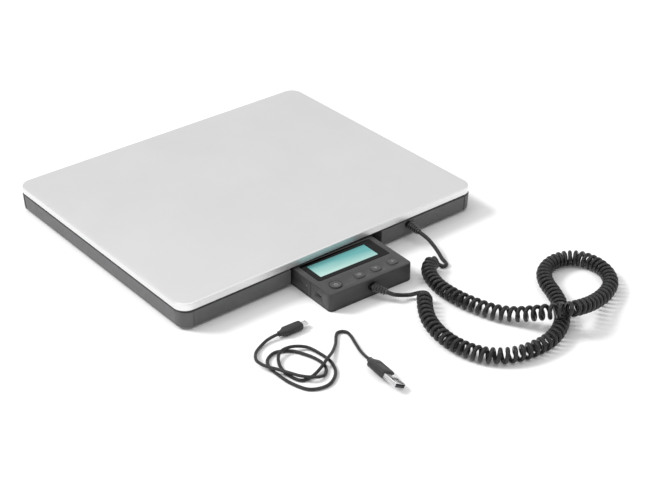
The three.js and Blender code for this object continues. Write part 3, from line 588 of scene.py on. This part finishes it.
def lcd_finish():
    """Backlit glass, deep teal at the back, with a painted sheen on it: paler towards the keys, in
    faint bands.
    """
    finish = Finish("lcd_glass", (0.24, 0.45, 0.42), 0.14, Specular_IOR_Level=0.3)
    mapping = finish.tree.nodes.new("ShaderNodeMapping")
    front_edge = middle_of("lcd_panel") - UNIT_TURN @ Vector((0, 0.0121, 0))
    mapping.vector_type = "TEXTURE"
    mapping.inputs["Location"].default_value = front_edge
    mapping.inputs["Rotation"].default_value = (0, 0, UNIT_TURN.to_euler().z)
    mapping.inputs["Scale"].default_value = (0.0725, 0.0243, 1)
    finish.link(finish.place, mapping, "Vector")
    parts = finish.tree.nodes.new("ShaderNodeSeparateXYZ")
    finish.link(mapping.outputs["Vector"], parts, "Vector")
    # Painted sheen: a slope from front to back and across the glass, broken into faint noise bands,
    # then turned into colour by the ramp.
    sheen_slope = finish.tree.nodes.new("ShaderNodeMath")
    sheen_slope.operation = "MULTIPLY_ADD"
    sheen_slope.inputs[1].default_value = 0.35
    finish.link(parts.outputs["X"], sheen_slope, 0)
    finish.link(parts.outputs["Y"], sheen_slope, 2)
    sheen_bands = finish.tree.nodes.new("ShaderNodeMath")
    sheen_bands.operation = "MULTIPLY_ADD"
    sheen_bands.inputs[1].default_value = 0.25
    finish.link(finish.noise(9, detail=2, stretch=(3, 1, 1)), sheen_bands, 0)
    finish.link(sheen_slope.outputs[0], sheen_bands, 2)
    colour = finish.ramp(sheen_bands.outputs[0], (0.32, 0.47, 0.43), (0.075, 0.26, 0.26), 0.05, 0.85)
    finish.link(colour, finish.shader, "Base Color")
    finish.wear(3, 0.1, 0.16)


def make_finishes():
    plate = Finish("satin_steel", (0.80, 0.80, 0.80), 0.46, metallic=1.0)
    plate.mottle(60, 0.015).wear(0.6, 0.44, 0.49, stretch=(40, 1, 1))
    plate.grain(0.5, 0.0006, stretch=(60, 1, 1))
    base = Finish("textured_base", (0.095, 0.095, 0.097), 0.5, Specular_IOR_Level=0.3)
    base.mottle(12, 0.06).wear(4, 0.44, 0.55).grain(0.55, 0.012).grain(0.2, 0.006)
    unit = Finish("display_case", (0.036, 0.035, 0.035), 0.4, Specular_IOR_Level=0.4)
    unit.mottle(9, 0.06).wear(3, 0.36, 0.47).grain(0.4, 0.008).grain(0.15, 0.004)
    carrier = Finish("carrier", (0.03, 0.031, 0.033), 0.6)
    carrier.mottle(10, 0.1).grain(0.5, 0.01)
    sheath = Finish("cord_sheath", (0.010, 0.010, 0.0105), 0.26, Specular_IOR_Level=0.4)
    sheath.mottle(5, 0.15).wear(1.2, 0.22, 0.34).grain(0.35, 0.004)
    usb_sheath = Finish("usb_sheath", (0.012, 0.012, 0.0125), 0.28, Specular_IOR_Level=0.45)
    usb_sheath.mottle(5, 0.12).wear(1.2, 0.24, 0.34).grain(0.3, 0.004)
    boot = Finish("boot_rubber", (0.005, 0.005, 0.0055), 0.24, Specular_IOR_Level=1.0)
    boot.mottle(3, 0.2).wear(0.9, 0.16, 0.24).grain(0.3, 0.005)
    grip = Finish("plug_grip", (0.02, 0.02, 0.021), 0.38, Specular_IOR_Level=0.4)
    grip.mottle(4, 0.1).wear(1, 0.36, 0.5).grain(0.25, 0.008)
    window = Finish("smoked_window", (0.003, 0.003, 0.0035), 0.12, Specular_IOR_Level=0.12)
    window.mottle(6, 0.2).wear(7, 0.07, 0.14)
    key = Finish("key_plastic", (0.045, 0.045, 0.047), 0.34, Specular_IOR_Level=0.4)
    key.mottle(3, 0.06).wear(1.5, 0.32, 0.42).grain(0.2, 0.004)
    printed = Finish("key_print", (0.24, 0.24, 0.245), 0.5)
    printed.mottle(1, 0.06).grain(0.15, 0.003)
    metal = Finish("plug_steel", (0.75, 0.75, 0.76), 0.16, metallic=1.0)
    metal.mottle(4, 0.04).wear(0.3, 0.12, 0.22, stretch=(8, 1, 1)).grain(0.4, 0.001)
    # The socket's metal is made dark: painted shade deep inside the port.
    port = Finish("shaded_port_metal", (0.2, 0.2, 0.205), 0.35, metallic=1.0)
    port.mottle(2, 0.06).wear(0.4, 0.3, 0.42)
    screw = Finish("screw_zinc", (0.58, 0.6, 0.62), 0.3, metallic=1.0)
    screw.mottle(1.5, 0.08).wear(0.4, 0.24, 0.4).grain(0.3, 0.003)
    cell = Finish("cell_steel", (0.5, 0.5, 0.51), 0.38, metallic=1.0)
    cell.mottle(6, 0.06).grain(0.4, 0.004, stretch=(10, 1, 1))
    foot = Finish("foot_rubber", (0.02, 0.02, 0.021), 0.75)
    foot.mottle(4, 0.15).grain(0.6, 0.02)
    board = Finish("circuit_board", (0.012, 0.11, 0.045), 0.4)
    board.mottle(2, 0.25).grain(0.8, 0.02)
    silicone = Finish("silicone", (0.15, 0.155, 0.16), 0.65)
    silicone.mottle(4, 0.06).grain(0.4, 0.008)
    foil = Finish("battery_foil", (0.5, 0.52, 0.54), 0.42, metallic=0.3)
    foil.mottle(5, 0.06).grain(2, 0.05)
    lens = Finish("led_lens", (0.09, 0.11, 0.095), 0.2, Coat_Weight=0.3)
    lens.mottle(0.8, 0.08)
    studio = Finish("studio_floor", (0.72, 0.72, 0.72), 0.8, Specular_IOR_Level=0.1)
    studio.mottle(300, 0.004)


make_finishes()
lcd_finish()
floor.data.materials.append(FINISHES["studio_floor"])


def dress(piece, finish, slot=None, body=None, replaces=()):
    """Gives a piece its finish, its body and the CAD nodes it stands for. Its slot is not used."""
    piece.data.materials.clear()
    piece.data.materials.append(FINISHES[finish])
    if body:
        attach(piece, body)
    if replaces:
        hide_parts(*replaces)
    return piece


# ---------- platform plate and base ----------
PLATE = {
    "width": 380, "depth": 319, "corner": 14, "top": 30.4, "skirt": 8, "sheet": 1.2,
    "fillet": 1.7, "inner_fillet": 0.9, "lip": 3,
}
HOUSING = {
    "width": 381.4, "depth": 320.5, "corner": 14.7, "bottom": 3, "top": 22.1,
    "wall": 3.5, "floor": 2.4, "lean": 0.9, "edge": 1.2,
}
BAY = {"half": 59.6, "back": -85, "roof": 22.6, "wall": 2.2, "roof_sheet": 1.2}
# The corner posts' reach along a side, and the groove and the set-back panel beside them.
POST = 13.5
GROOVE = {"width": 0.5, "depth": 1.1, "edge": 0.15}
PANEL = 0.45
FOOT = {"x": 160, "y": 130, "radius": 20, "stem": 5}
FOOT_SPOTS = [(sx * FOOT["x"], sy * FOOT["y"]) for sx, sy in ((-1, -1), (1, -1), (1, 1), (-1, 1))]
WELL = {"wall": 3.4, "gap": 1, "roof": 10.8, "top": 11.8, "stem_gap": 1.6, "stem_top": 12.5}
BOSSES = [(-165, 0), (165, 0), (-75, 139), (75, 139), (-118, -60), (118, -60)]
BOSS = {"radius": 5.2, "well": 3.5, "well_top": 12, "hole": 1.8}
EXIT_HOLE = {"radius": 4.1, "recess": 6.6, "recess_depth": 1.45}


def platform_plate():
    sheet, top = PLATE["sheet"], PLATE["top"]
    low = top - PLATE["skirt"]
    under = top - sheet
    fillet, inner = PLATE["fillet"], PLATE["inner_fillet"]
    profile = [(sheet + PLATE["lip"], under)]
    profile += quarter(sheet, under - inner, inner, 3)[::-1]
    profile += [(sheet, low + 0.2), (sheet - 0.2, low), (0.25, low), (0, low + 0.25)]
    profile += quarter(0, top - 0.12 - fillet, fillet, 6)
    profile += [(fillet + 0.9, top - 0.1), (fillet + 1.6, top)]
    size = PLATE["width"], PLATE["depth"], PLATE["corner"]
    plate = slab("steel_plate", *size, profile, BASE, arc=16)
    return dress(shade(plate, 24), "satin_steel", "brushed_steel_plate", "base", ["platform_plate"])


def post_outline(inset, arc=10):
    """The housing's outline: rounded corner posts, and panels between them set back behind a
    narrow groove."""
    half = (HOUSING["width"] / 2, HOUSING["depth"] / 2)
    corner = HOUSING["corner"]
    reach = corner - inset
    trim = math.asin((corner - POST) / corner)
    groove, deep, edge = GROOVE["width"], GROOVE["depth"], GROOVE["edge"]
    marks = ((edge, deep), (edge + groove, deep), (2 * edge + groove, PANEL))
    points = []
    for quadrant, (sx, sy) in enumerate(CORNERS):
        centre = Vector((sx * (half[0] - corner), sy * (half[1] - corner)))
        start = quadrant * math.pi / 2
        angles = [start + trim + (math.pi / 2 - 2 * trim) * i / arc for i in range(arc + 1)]
        curve = [centre + reach * Vector((math.cos(a), math.sin(a))) for a in angles]
        sides = []
        for post_edge, out, along in ((curve[0], start, -1), (curve[-1], start + math.pi / 2, 1)):
            normal = Vector((math.cos(out), math.sin(out)))
            tangent = Vector((-normal.y, normal.x)) * along
            face = half[quadrant % 2 if along < 0 else (quadrant + 1) % 2] - inset
            sides.append([
                post_edge + tangent * far + normal * (face - depth - post_edge.dot(normal))
                for far, depth in marks
            ])
        points += sides[0][::-1] + curve + sides[1]
    return points


def facing_front(x, y, z, place):
    """A place whose +z points to the front."""
    return place @ Matrix.Translation((x, y, z)) @ Matrix.Rotation(math.pi / 2, 4, "X")


def base_housing():
    low, top = HOUSING["bottom"], HOUSING["top"]
    wall, sole, edge = HOUSING["wall"], HOUSING["floor"], HOUSING["edge"]
    outer = quarter(0, low + edge, edge, 4, down=True)[::-1]
    outer = [(inset + HOUSING["lean"], height) for inset, height in outer]
    outer += [(0.1, top - 2.2), (0.35, top - 1.9), (2.2, top - 1.8), (2.3, top - 0.1), (2.5, top)]
    outer += [(wall - 0.2, top), (wall, top - 0.2), (wall, low + sole)]
    loops = [[(*point, height) for point in post_outline(inset)] for inset, height in outer]
    body = loft("housing", loops, BASE)
    front = -HOUSING["depth"] / 2
    half, back, roof, thick = BAY["half"], BAY["back"], BAY["roof"], BAY["wall"]
    inside = front + wall
    over = roof + BAY["roof_sheet"]
    extra = [block(-half - thick, half + thick, inside - 0.5, back + thick, low, over, BASE)]
    for side in (-1, 1):
        x0, x1 = sorted((side * half, side * (half + thick)))
        extra.append(block(x0, x1, front + 1.9, inside, low, top, BASE))
    combine(body, extra, "UNION")
    holes = [block(-half, half, front - 5, back, low - 5, roof, BASE)]
    posts = []
    for x, y in FOOT_SPOTS:
        posts.append(rod(FOOT["radius"] + WELL["wall"], low + 0.5, WELL["top"], x, y, BASE, 48))
        holes.append(rod(FOOT["radius"] + WELL["gap"], low - 1, WELL["roof"], x, y, BASE, 48))
        holes.append(rod(FOOT["stem"] + WELL["stem_gap"], low, WELL["stem_top"], x, y, BASE, 32))
    for x, y in BOSSES:
        posts.append(rod(BOSS["radius"], low + sole - 1, top, x, y, BASE, 20))
        holes.append(rod(BOSS["well"], low - 1, BOSS["well_top"], x, y, BASE, 20))
        holes.append(rod(BOSS["hole"], low, top + 1, x, y, BASE, 12))
    exit_x, _, exit_z = BASE_EXIT
    outward = facing_front(exit_x, front, exit_z, BASE)
    hole, recess, depth = EXIT_HOLE["radius"], EXIT_HOLE["recess"], EXIT_HOLE["recess_depth"]
    holes.append(turned("cutter", [(hole, -8), (hole, 8)], outward))
    holes.append(turned("cutter", [(recess, -depth), (recess, 5)], outward))
    combine(body, posts, "UNION")
    combine(body, holes, "DIFFERENCE")
    soften(body, 0.25, 50, 1)
    body.name = "base_shell"
    return dress(shade(body, 30), "textured_base", "base_abs", "base", ["base_housing"])


platform_plate()
base_housing()


# ---------- display unit ----------
CASE = {"corner": 4.5, "wall": 1.8, "seam": 1.9, "fillet": 1.5, "bottom_fillet": 0.9}
WINDOW = {"x": (6.6, 95.9), "y": (27.2, 63.5), "step": 1.4}
LCD = {"x": (13.5, 86), "y": (34, 58.3)}
KEY = {"y": 12.4, "top": 21.7, "width": 10, "depth": 9.6, "corner": 3}
POWER_KEY = {"x": 16, "radius": 6, "dish": 7.6}
KEY_ROW = (45, 65.6, 86.7)
PORT = {"y": 18.5, "z": 10.4, "width": 7.5, "height": 2.9}
LED = {"y": 40, "z": 12, "radius": 1.2}
SCREW_SPOTS = ((6.5, 6.5), (96, 6.5), (96, 65.5), (6.5, 65.5))
# The shallow groove down both sides of the case, at this distance from the front.
SIDE_GROOVE = 32.4
# The holes for the keys are cut from this height, inside the case, up through its top.
KEY_HOLES_LOW = 16
CLEAR = 0.3


def span(pair):
    """The middle and the size between two ends."""
    return (pair[0] + pair[1]) / 2, pair[1] - pair[0]


def on_side(x, y, z):
    """A place on the unit's left side whose +z points out of it."""
    return UNIT @ Matrix.Translation((x, y, z)) @ Matrix.Rotation(-math.pi / 2, 4, "Y")


def display_top_case():
    width, depth, height = UNIT_SIZE
    middle = (width / 2, depth / 2)
    low, wall, corner, fillet = CASE["seam"], CASE["wall"], CASE["corner"], CASE["fillet"]
    profile = [(0.35, low), (0, low + 0.35)] + quarter(0, height - fillet, fillet, 6)
    body = slab("display_case_top", width, depth, corner, profile, UNIT, middle, arc=10)
    cavity = [(0, low - 1), (0, height - wall)]
    inner = width - 2 * wall, depth - 2 * wall, corner - wall
    cutters = [slab("cutter", *inner, cavity, UNIT, middle)]
    (wx, ww), (wy, wd) = span(WINDOW["x"]), span(WINDOW["y"])
    recess = [(0, height - WINDOW["step"]), (0, height - 0.5), (-0.6, height + 0.1)]
    cutters.append(slab("cutter", ww, wd, 2.2, recess, UNIT, (wx, wy), arc=6))
    cutters.append(block(*LCD["x"], *LCD["y"], height - 3, height, UNIT))
    spot = POWER_KEY["x"], KEY["y"]
    cutters.append(rod(POWER_KEY["radius"] + CLEAR, KEY_HOLES_LOW, height + 1, *spot, UNIT, 40))
    cutters.append(rod(POWER_KEY["dish"], height - 0.4, height + 1, *spot, UNIT, 40))
    for x in KEY_ROW:
        hole = [(0, KEY_HOLES_LOW), (0, height + 1)]
        size = KEY["width"] + 2 * CLEAR, KEY["depth"] + 2 * CLEAR, KEY["corner"] + CLEAR
        cutters.append(slab("cutter", *size, hole, UNIT, (x, KEY["y"]), arc=6))
    mouth = on_side(0, PORT["y"], PORT["z"])
    cutters.append(slab("cutter", 6.6, 12, 1.6, [(0.3, -0.6), (0, -0.2), (-0.2, 1)], mouth, arc=6))
    size = PORT["height"] + 1, PORT["width"] + 1, 1.3
    cutters.append(slab("cutter", *size, [(0, -4), (0, 1)], mouth, arc=6))
    hole = LED["radius"] + CLEAR
    light = on_side(0, LED["y"], LED["z"])
    cutters.append(turned("cutter", [(hole, -4), (hole, 2)], light, 20))
    y0, y1 = SIDE_GROOVE - 0.3, SIDE_GROOVE + 0.3
    for x in (0, width):
        cutters.append(block(x - 0.4, x + 0.4, y0, y1, 0, height - 1.4, UNIT))
    front = facing_front(*UNIT_EXIT, UNIT)
    hole = EXIT_HOLE["radius"]
    cutters.append(turned("cutter", [(hole, -5), (hole, 5)], front))
    cutters.append(turned("cutter", [(5.4, -0.5), (5.7, 1)], front))
    combine(body, cutters, "DIFFERENCE")
    soften(body, 0.22, 40, 2)
    return dress(shade(body, 34), "display_case", "display_abs", "display_unit", ["display_top_case"])


def display_bottom_case():
    width, depth, _ = UNIT_SIZE
    middle = (width / 2, depth / 2)
    fillet = CASE["bottom_fillet"]
    profile = quarter(0, fillet, fillet, 4, down=True)[::-1]
    profile += [(0, 1.4), (0.25, 1.6), (2.1, 1.6), (2.1, 3.4), (4.5, 3.4), (4.5, 1.6)]
    body = slab("display_case_bottom", width, depth, CASE["corner"], profile, UNIT, middle, arc=10)
    cutters = [rod(2.4, -1, 1.2, x, y, UNIT, 24) for x, y in SCREW_SPOTS]
    combine(body, cutters, "DIFFERENCE")
    finish = "display_case", "display_abs", "display_unit", ["display_bottom_case"]
    return dress(shade(body, 34), *finish)


def window_and_lcd():
    height = UNIT_SIZE[2]
    (wx, ww), (wy, wd) = span(WINDOW["x"]), span(WINDOW["y"])
    (lx, lw), (ly, ld) = span(LCD["x"]), span(LCD["y"])
    top = height - WINDOW["step"] + 0.8
    profile = [(0.25, top - 1.0), (0, top - 0.8), (0, top - 0.25), (0.25, top)]
    window = slab("window_frame", ww - 0.6, wd - 0.6, 2, profile, UNIT, (wx, wy), arc=6)
    flare = [(0, top - 3), (0, top - 0.3), (-0.5, top + 0.2)]
    opening = slab("cutter", lw, ld, 0.5, flare, UNIT, (lx, ly))
    combine(window, [opening], "DIFFERENCE")
    dress(shade(window), "smoked_window", "smoked_window", "display_unit", ["display_window"])
    pane = [(0, top - 3.4), (0, top - 0.55), (0.2, top - 0.35)]
    lcd = slab("lcd_screen", lw - 0.3, ld - 0.3, 0.5, pane, UNIT, (lx, ly))
    dress(shade(lcd), "lcd_glass", "lcd_glass", "display_unit", ["lcd_panel"])


def power_key():
    x, radius, top = POWER_KEY["x"], POWER_KEY["radius"], KEY["top"]
    rise = quarter(0, top - 0.8, 0.8, 4)
    profile = [(radius + 0.9, 17.4), (radius + 0.9, 18.4), (radius, 18.5)]
    profile += [(radius - inset, height) for inset, height in rise]
    profile += [(radius - 1.5, top - 0.08), (radius - 2.6, top - 0.42), (1.2, top - 0.62)]
    place = UNIT @ Matrix.Translation((x, KEY["y"], 0))
    key = turned("power_button", profile, place, 48)
    dress(shade(key), "key_plastic", "key_abs", "power_button", ["power_key"])
    low, high = top - 0.62, top - 0.5
    section = [(1.9, low), (1.9, high), (1.4, high), (1.4, low)]
    ring = turned("power_mark_ring", section, place, 32)
    gap = block(-0.45, 0.45, 0, 3, top - 1, top, place)
    hollow = rod(1.35, top - 1, top + 1, 0, 0, place, 32)
    combine(ring, [gap, hollow], "DIFFERENCE")
    dress(ring, "key_print", "key_abs", "power_button")
    bar = block(-0.22, 0.22, 0.5, 2.2, low, top - 0.47, place)
    bar.name = "power_mark_bar"
    dress(bar, "key_print", "key_abs", "power_button")


def square_mark(place, low, high):
    square = block(-1.5, 1.5, -1.1, 1.3, low, high, place)
    middle = block(-1.0, 1.0, -0.7, 0.9, low - 1, high + 1, place)
    return combine(square, [middle], "DIFFERENCE")


def tee_mark(place, low, high):
    bar = block(-1.9, 1.9, 0.5, 1.0, low, high, place)
    return combine(bar, [block(-0.25, 0.25, -1.4, 0.9, low, high, place)], "UNION")


def plus_mark(place, low, high):
    bar = block(-1.6, 1.6, -0.25, 0.25, low, high, place)
    return combine(bar, [block(-0.25, 0.25, -1.3, 1.3, low, high, place)], "UNION")


def function_keys():
    """Three square keys, with a plain symbol on each."""
    top = KEY["top"]
    profile = [(-0.9, 17.4), (-0.9, 18.4), (0, 18.5)] + quarter(0, top - 1.1, 0.9, 4)
    profile += [(2.2, top - 0.05), (3.4, top)]
    size = KEY["width"], KEY["depth"], KEY["corner"]
    for number, (x, draw) in enumerate(zip(KEY_ROW, (square_mark, tee_mark, plus_mark)), 1):
        body = f"function_button_{number}"
        place = UNIT @ Matrix.Translation((x, KEY["y"], 0))
        key = slab(f"key_cap_{number}", *size, profile, place, arc=8)
        dress(shade(key), "key_plastic", "key_abs", body, [f"function_key_{number}"])
        mark = draw(place, top - 0.05, top + 0.13)
        mark.name = f"key_mark_{number}"
        dress(mark, "key_print", "key_abs", body)


def charge_light():
    radius = LED["radius"]
    profile = [(radius, -3), (radius, -0.4), (radius * 0.8, -0.1), (radius * 0.4, 0.05)]
    light = turned("charge_lens", profile, on_side(0, LED["y"], LED["z"]), 24)
    dress(shade(light, 60), "led_lens", "led_lens", "display_unit", ["charge_led"])


display_top_case()
display_bottom_case()
window_and_lcd()
power_key()
function_keys()
charge_light()


# ---------- strain reliefs and plugs ----------
def strain_relief(name, exit_point, way, wall, place, body, node):
    """A ribbed sleeve: rings joined by a tapered core, with a flange behind the wall."""
    toward = Vector(way).normalized()
    turn = Vector((0, 0, 1)).rotation_difference(toward).to_matrix().to_4x4()
    sleeve = place @ Matrix.Translation(exit_point) @ turn
    core = [(RELIEF["root"], 0.5)]
    depth, half = 1.5, 0.8
    for rib in range(RELIEF["ribs"]):
        radius = RELIEF["rib"] - RELIEF["taper"] * rib / (RELIEF["ribs"] - 1)
        start = RELIEF["first"] + rib * RELIEF["pitch"]
        for step in range(7):
            angle = math.pi * step / 6
            swell = depth * math.sin(angle) ** 0.8
            core.append((radius - depth + swell, start + half * (1 - math.cos(angle))))
    core += [(2.7, RELIEF_LENGTH - 0.5), (RELIEF["tip"], RELIEF_LENGTH)]
    piece = turned(name, core, sleeve, 32)
    back = facing_front(*exit_point, place)
    neck = turned("cutter", [(RELIEF["neck"], -wall - 2), (RELIEF["neck"], 2.5)], back)
    flange = turned("cutter", [(RELIEF["flange"], -wall - 2), (RELIEF["flange"], -wall - 0.4)], back)
    combine(piece, [neck, flange], "UNION")
    dress(shade(piece, 40), "boot_rubber", "cord_rubber", body, [node])
    return piece


base_boot = strain_relief(
    "base_strain_relief", BASE_EXIT, BASE_LEAD_WAY, HOUSING["wall"], BASE, "base", "base_cord_boot",
)
display_boot = strain_relief(
    "display_strain_relief", UNIT_EXIT, UNIT_LEAD_WAY, CASE["wall"], UNIT,
    "display_unit", "display_cord_boot",
)


def along_x(name, sections, place):
    """A body through rounded sections across x: (x, width, height, corner)."""
    loops = []
    for x, width, height, corner in sections:
        loops.append([(x, y, z) for y, z in rounded_rect(width, height, corner, arc=5)])
    return loft(name, loops, place)


def micro_plug():
    grip = along_x("micro_plug_grip", [
        (MICRO_GRIP_END, 4.4, 4.2, 1.9), (-26.6, 5.2, 5, 2.2), (-23.4, 5.8, 5.4, 2.3),
        (-23.0, 6.8, 5.8, 2.4), (-21.4, 7.4, 6.2, 2.5), (-20.6, 9.4, 6.9, 2.6),
        (-19.4, 10.4, 7.4, 2.8), (-6, 10.4, 7.4, 2.8), (-1.4, 10.0, 7.2, 2.8),
        (-0.3, 9.0, 6.4, 2.6), (0, 8.0, 5.4, 2.2),
    ], MICRO)
    grooves = []
    for x in (-17.4, -15.8, -14.2, -12.6):
        for side in (-1, 1):
            y0, y1 = sorted((side * 4.9, side * 6))
            grooves.append(block(x - 0.35, x + 0.35, y0, y1, -2, 2, MICRO))
    combine(grip, grooves, "DIFFERENCE")
    dress(shade(grip, 40), "plug_grip", "cord_rubber", "base", ["micro_usb_grip"])
    tip = along_x("micro_plug_tip", [
        (-0.5, 6.9, 1.9, 0.7), (6.2, 6.9, 1.9, 0.7), (6.6, 6.6, 1.6, 0.6),
    ], MICRO)
    mouth = along_x("cutter", [(2.4, 6.1, 1.1, 0.4), (8, 6.1, 1.1, 0.4)], MICRO)
    combine(tip, [mouth], "DIFFERENCE")
    dress(shade(tip), "plug_steel", "zinc", "base", ["micro_usb_tip"])
    return [grip, tip]


def usb_a_plug():
    grip = along_x("usb_plug_grip", [
        (0, 4.6, 4.4, 2.1), (0.5, 5.8, 5.2, 2.4), (4.3, 6.4, 5.6, 2.4), (4.7, 9.5, 6.2, 2.6),
        (6.0, 11.0, 6.8, 2.7), (7.0, 14.4, 7.5, 2.8), (8.2, 15.6, 8.0, 2.9), (28.5, 15.6, 8.0, 2.9),
        (30.4, 15.0, 7.5, 2.7), (31, 14.0, 6.6, 2.4),
    ], USB_A)
    hollow = []
    for side in (-1, 1):
        z0, z1 = sorted((side * 3.75, side * 5))
        hollow.append(block(13, 25, -4.6, 4.6, z0, z1, USB_A))
    combine(grip, hollow, "DIFFERENCE")
    dress(shade(grip, 40), "plug_grip", "cord_rubber", "base", ["usb_a_grip"])
    shell = along_x("usb_plug_shell", [
        (30.4, 12, 4.5, 0.6), (49.6, 12, 4.5, 0.6), (50.0, 11.8, 4.3, 0.5),
    ], USB_A)
    openings = [along_x("cutter", [(33, 11.3, 3.8, 0.35), (52, 11.3, 3.8, 0.35)], USB_A)]
    for y in (-2.9, 2.9):
        for z0, z1 in ((1.5, 3), (-3, -1.5)):
            openings.append(block(39.5, 42, y - 1.25, y + 1.25, z0, z1, USB_A))
    combine(shell, openings, "DIFFERENCE")
    dress(shade(shell), "plug_steel", "zinc", "base", ["usb_a_shell"])
    insert = block(32.5, 49.2, -5.4, 5.4, -1.8, 0.05, USB_A)
    insert.name = "usb_plug_insert"
    dress(insert, "carrier", "carrier_abs", "base")
    return [grip, shell, insert]


plugs = micro_plug() + usb_a_plug()


# ---------- feet ----------
def foot(number, x, y):
    place = BASE @ Matrix.Translation((x, y, 0))
    radius, stem = FOOT["radius"], FOOT["stem"]
    cup = turned(f"foot_ring_{number}", [
        (radius - 0.6, 3.2), (radius, 3.6), (radius, 6.9), (radius - 0.3, 7.2),
        (radius - 1.8, 7.2), (radius - 2.2, 5.3), (8, 5.2), (stem, 11.4), (stem - 0.4, 11.5),
    ], place, 48)
    dress(shade(cup), "carrier", "carrier_abs", f"foot_{number}", [f"foot_cup_{number}"])
    pad = turned(f"foot_rubber_{number}", [
        (12, 0.45), (12.4, 0), (17.6, 0), (18.6, 0.4), (19, 1.2), (19, 2.9),
    ], place, 48)
    dress(shade(pad), "foot_rubber", "foot_rubber", f"foot_{number}", [f"foot_pad_{number}"])


for number, (x, y) in enumerate(FOOT_SPOTS, 1):
    foot(number, x, y)


# ---------- the frame's own nodes that stay ----------
KEPT = {
    "support_frame": "carrier", "cord_clamp": "carrier", "load_cell": "cell_steel",
    "housing_screw": "screw_zinc", "display_screw": "screw_zinc", "junction_board": "circuit_board",
    "key_board": "circuit_board", "display_board": "circuit_board", "inner_cable": "cord_sheath",
    "cell_wire": "cord_sheath", "keypad_mat": "silicone", "battery_pack": "battery_foil",
    "usb_socket": "shaded_port_metal",
}
for node, part in frame["nodes"].items():
    for start, finish in KEPT.items():
        if node.startswith(start):
            part.data.materials.clear()
            part.data.materials.append(FINISHES[finish])


# ---------- cords, those of the base on the base ---
def lay_cord(piece, finish, replaces):
    dress(piece, finish, "cord_sheath", replaces=replaces)


lay_cord(curly_cord, "cord_sheath", ["base_lead", "curly_coil"])
lay_cord(display_cord, "cord_sheath", ["display_lead"])
lay_cord(usb_cable, "usb_sheath", ["usb_cable"])
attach(curly_cord, "base")
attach(usb_cable, "base")
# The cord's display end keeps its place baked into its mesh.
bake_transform(display_cord)
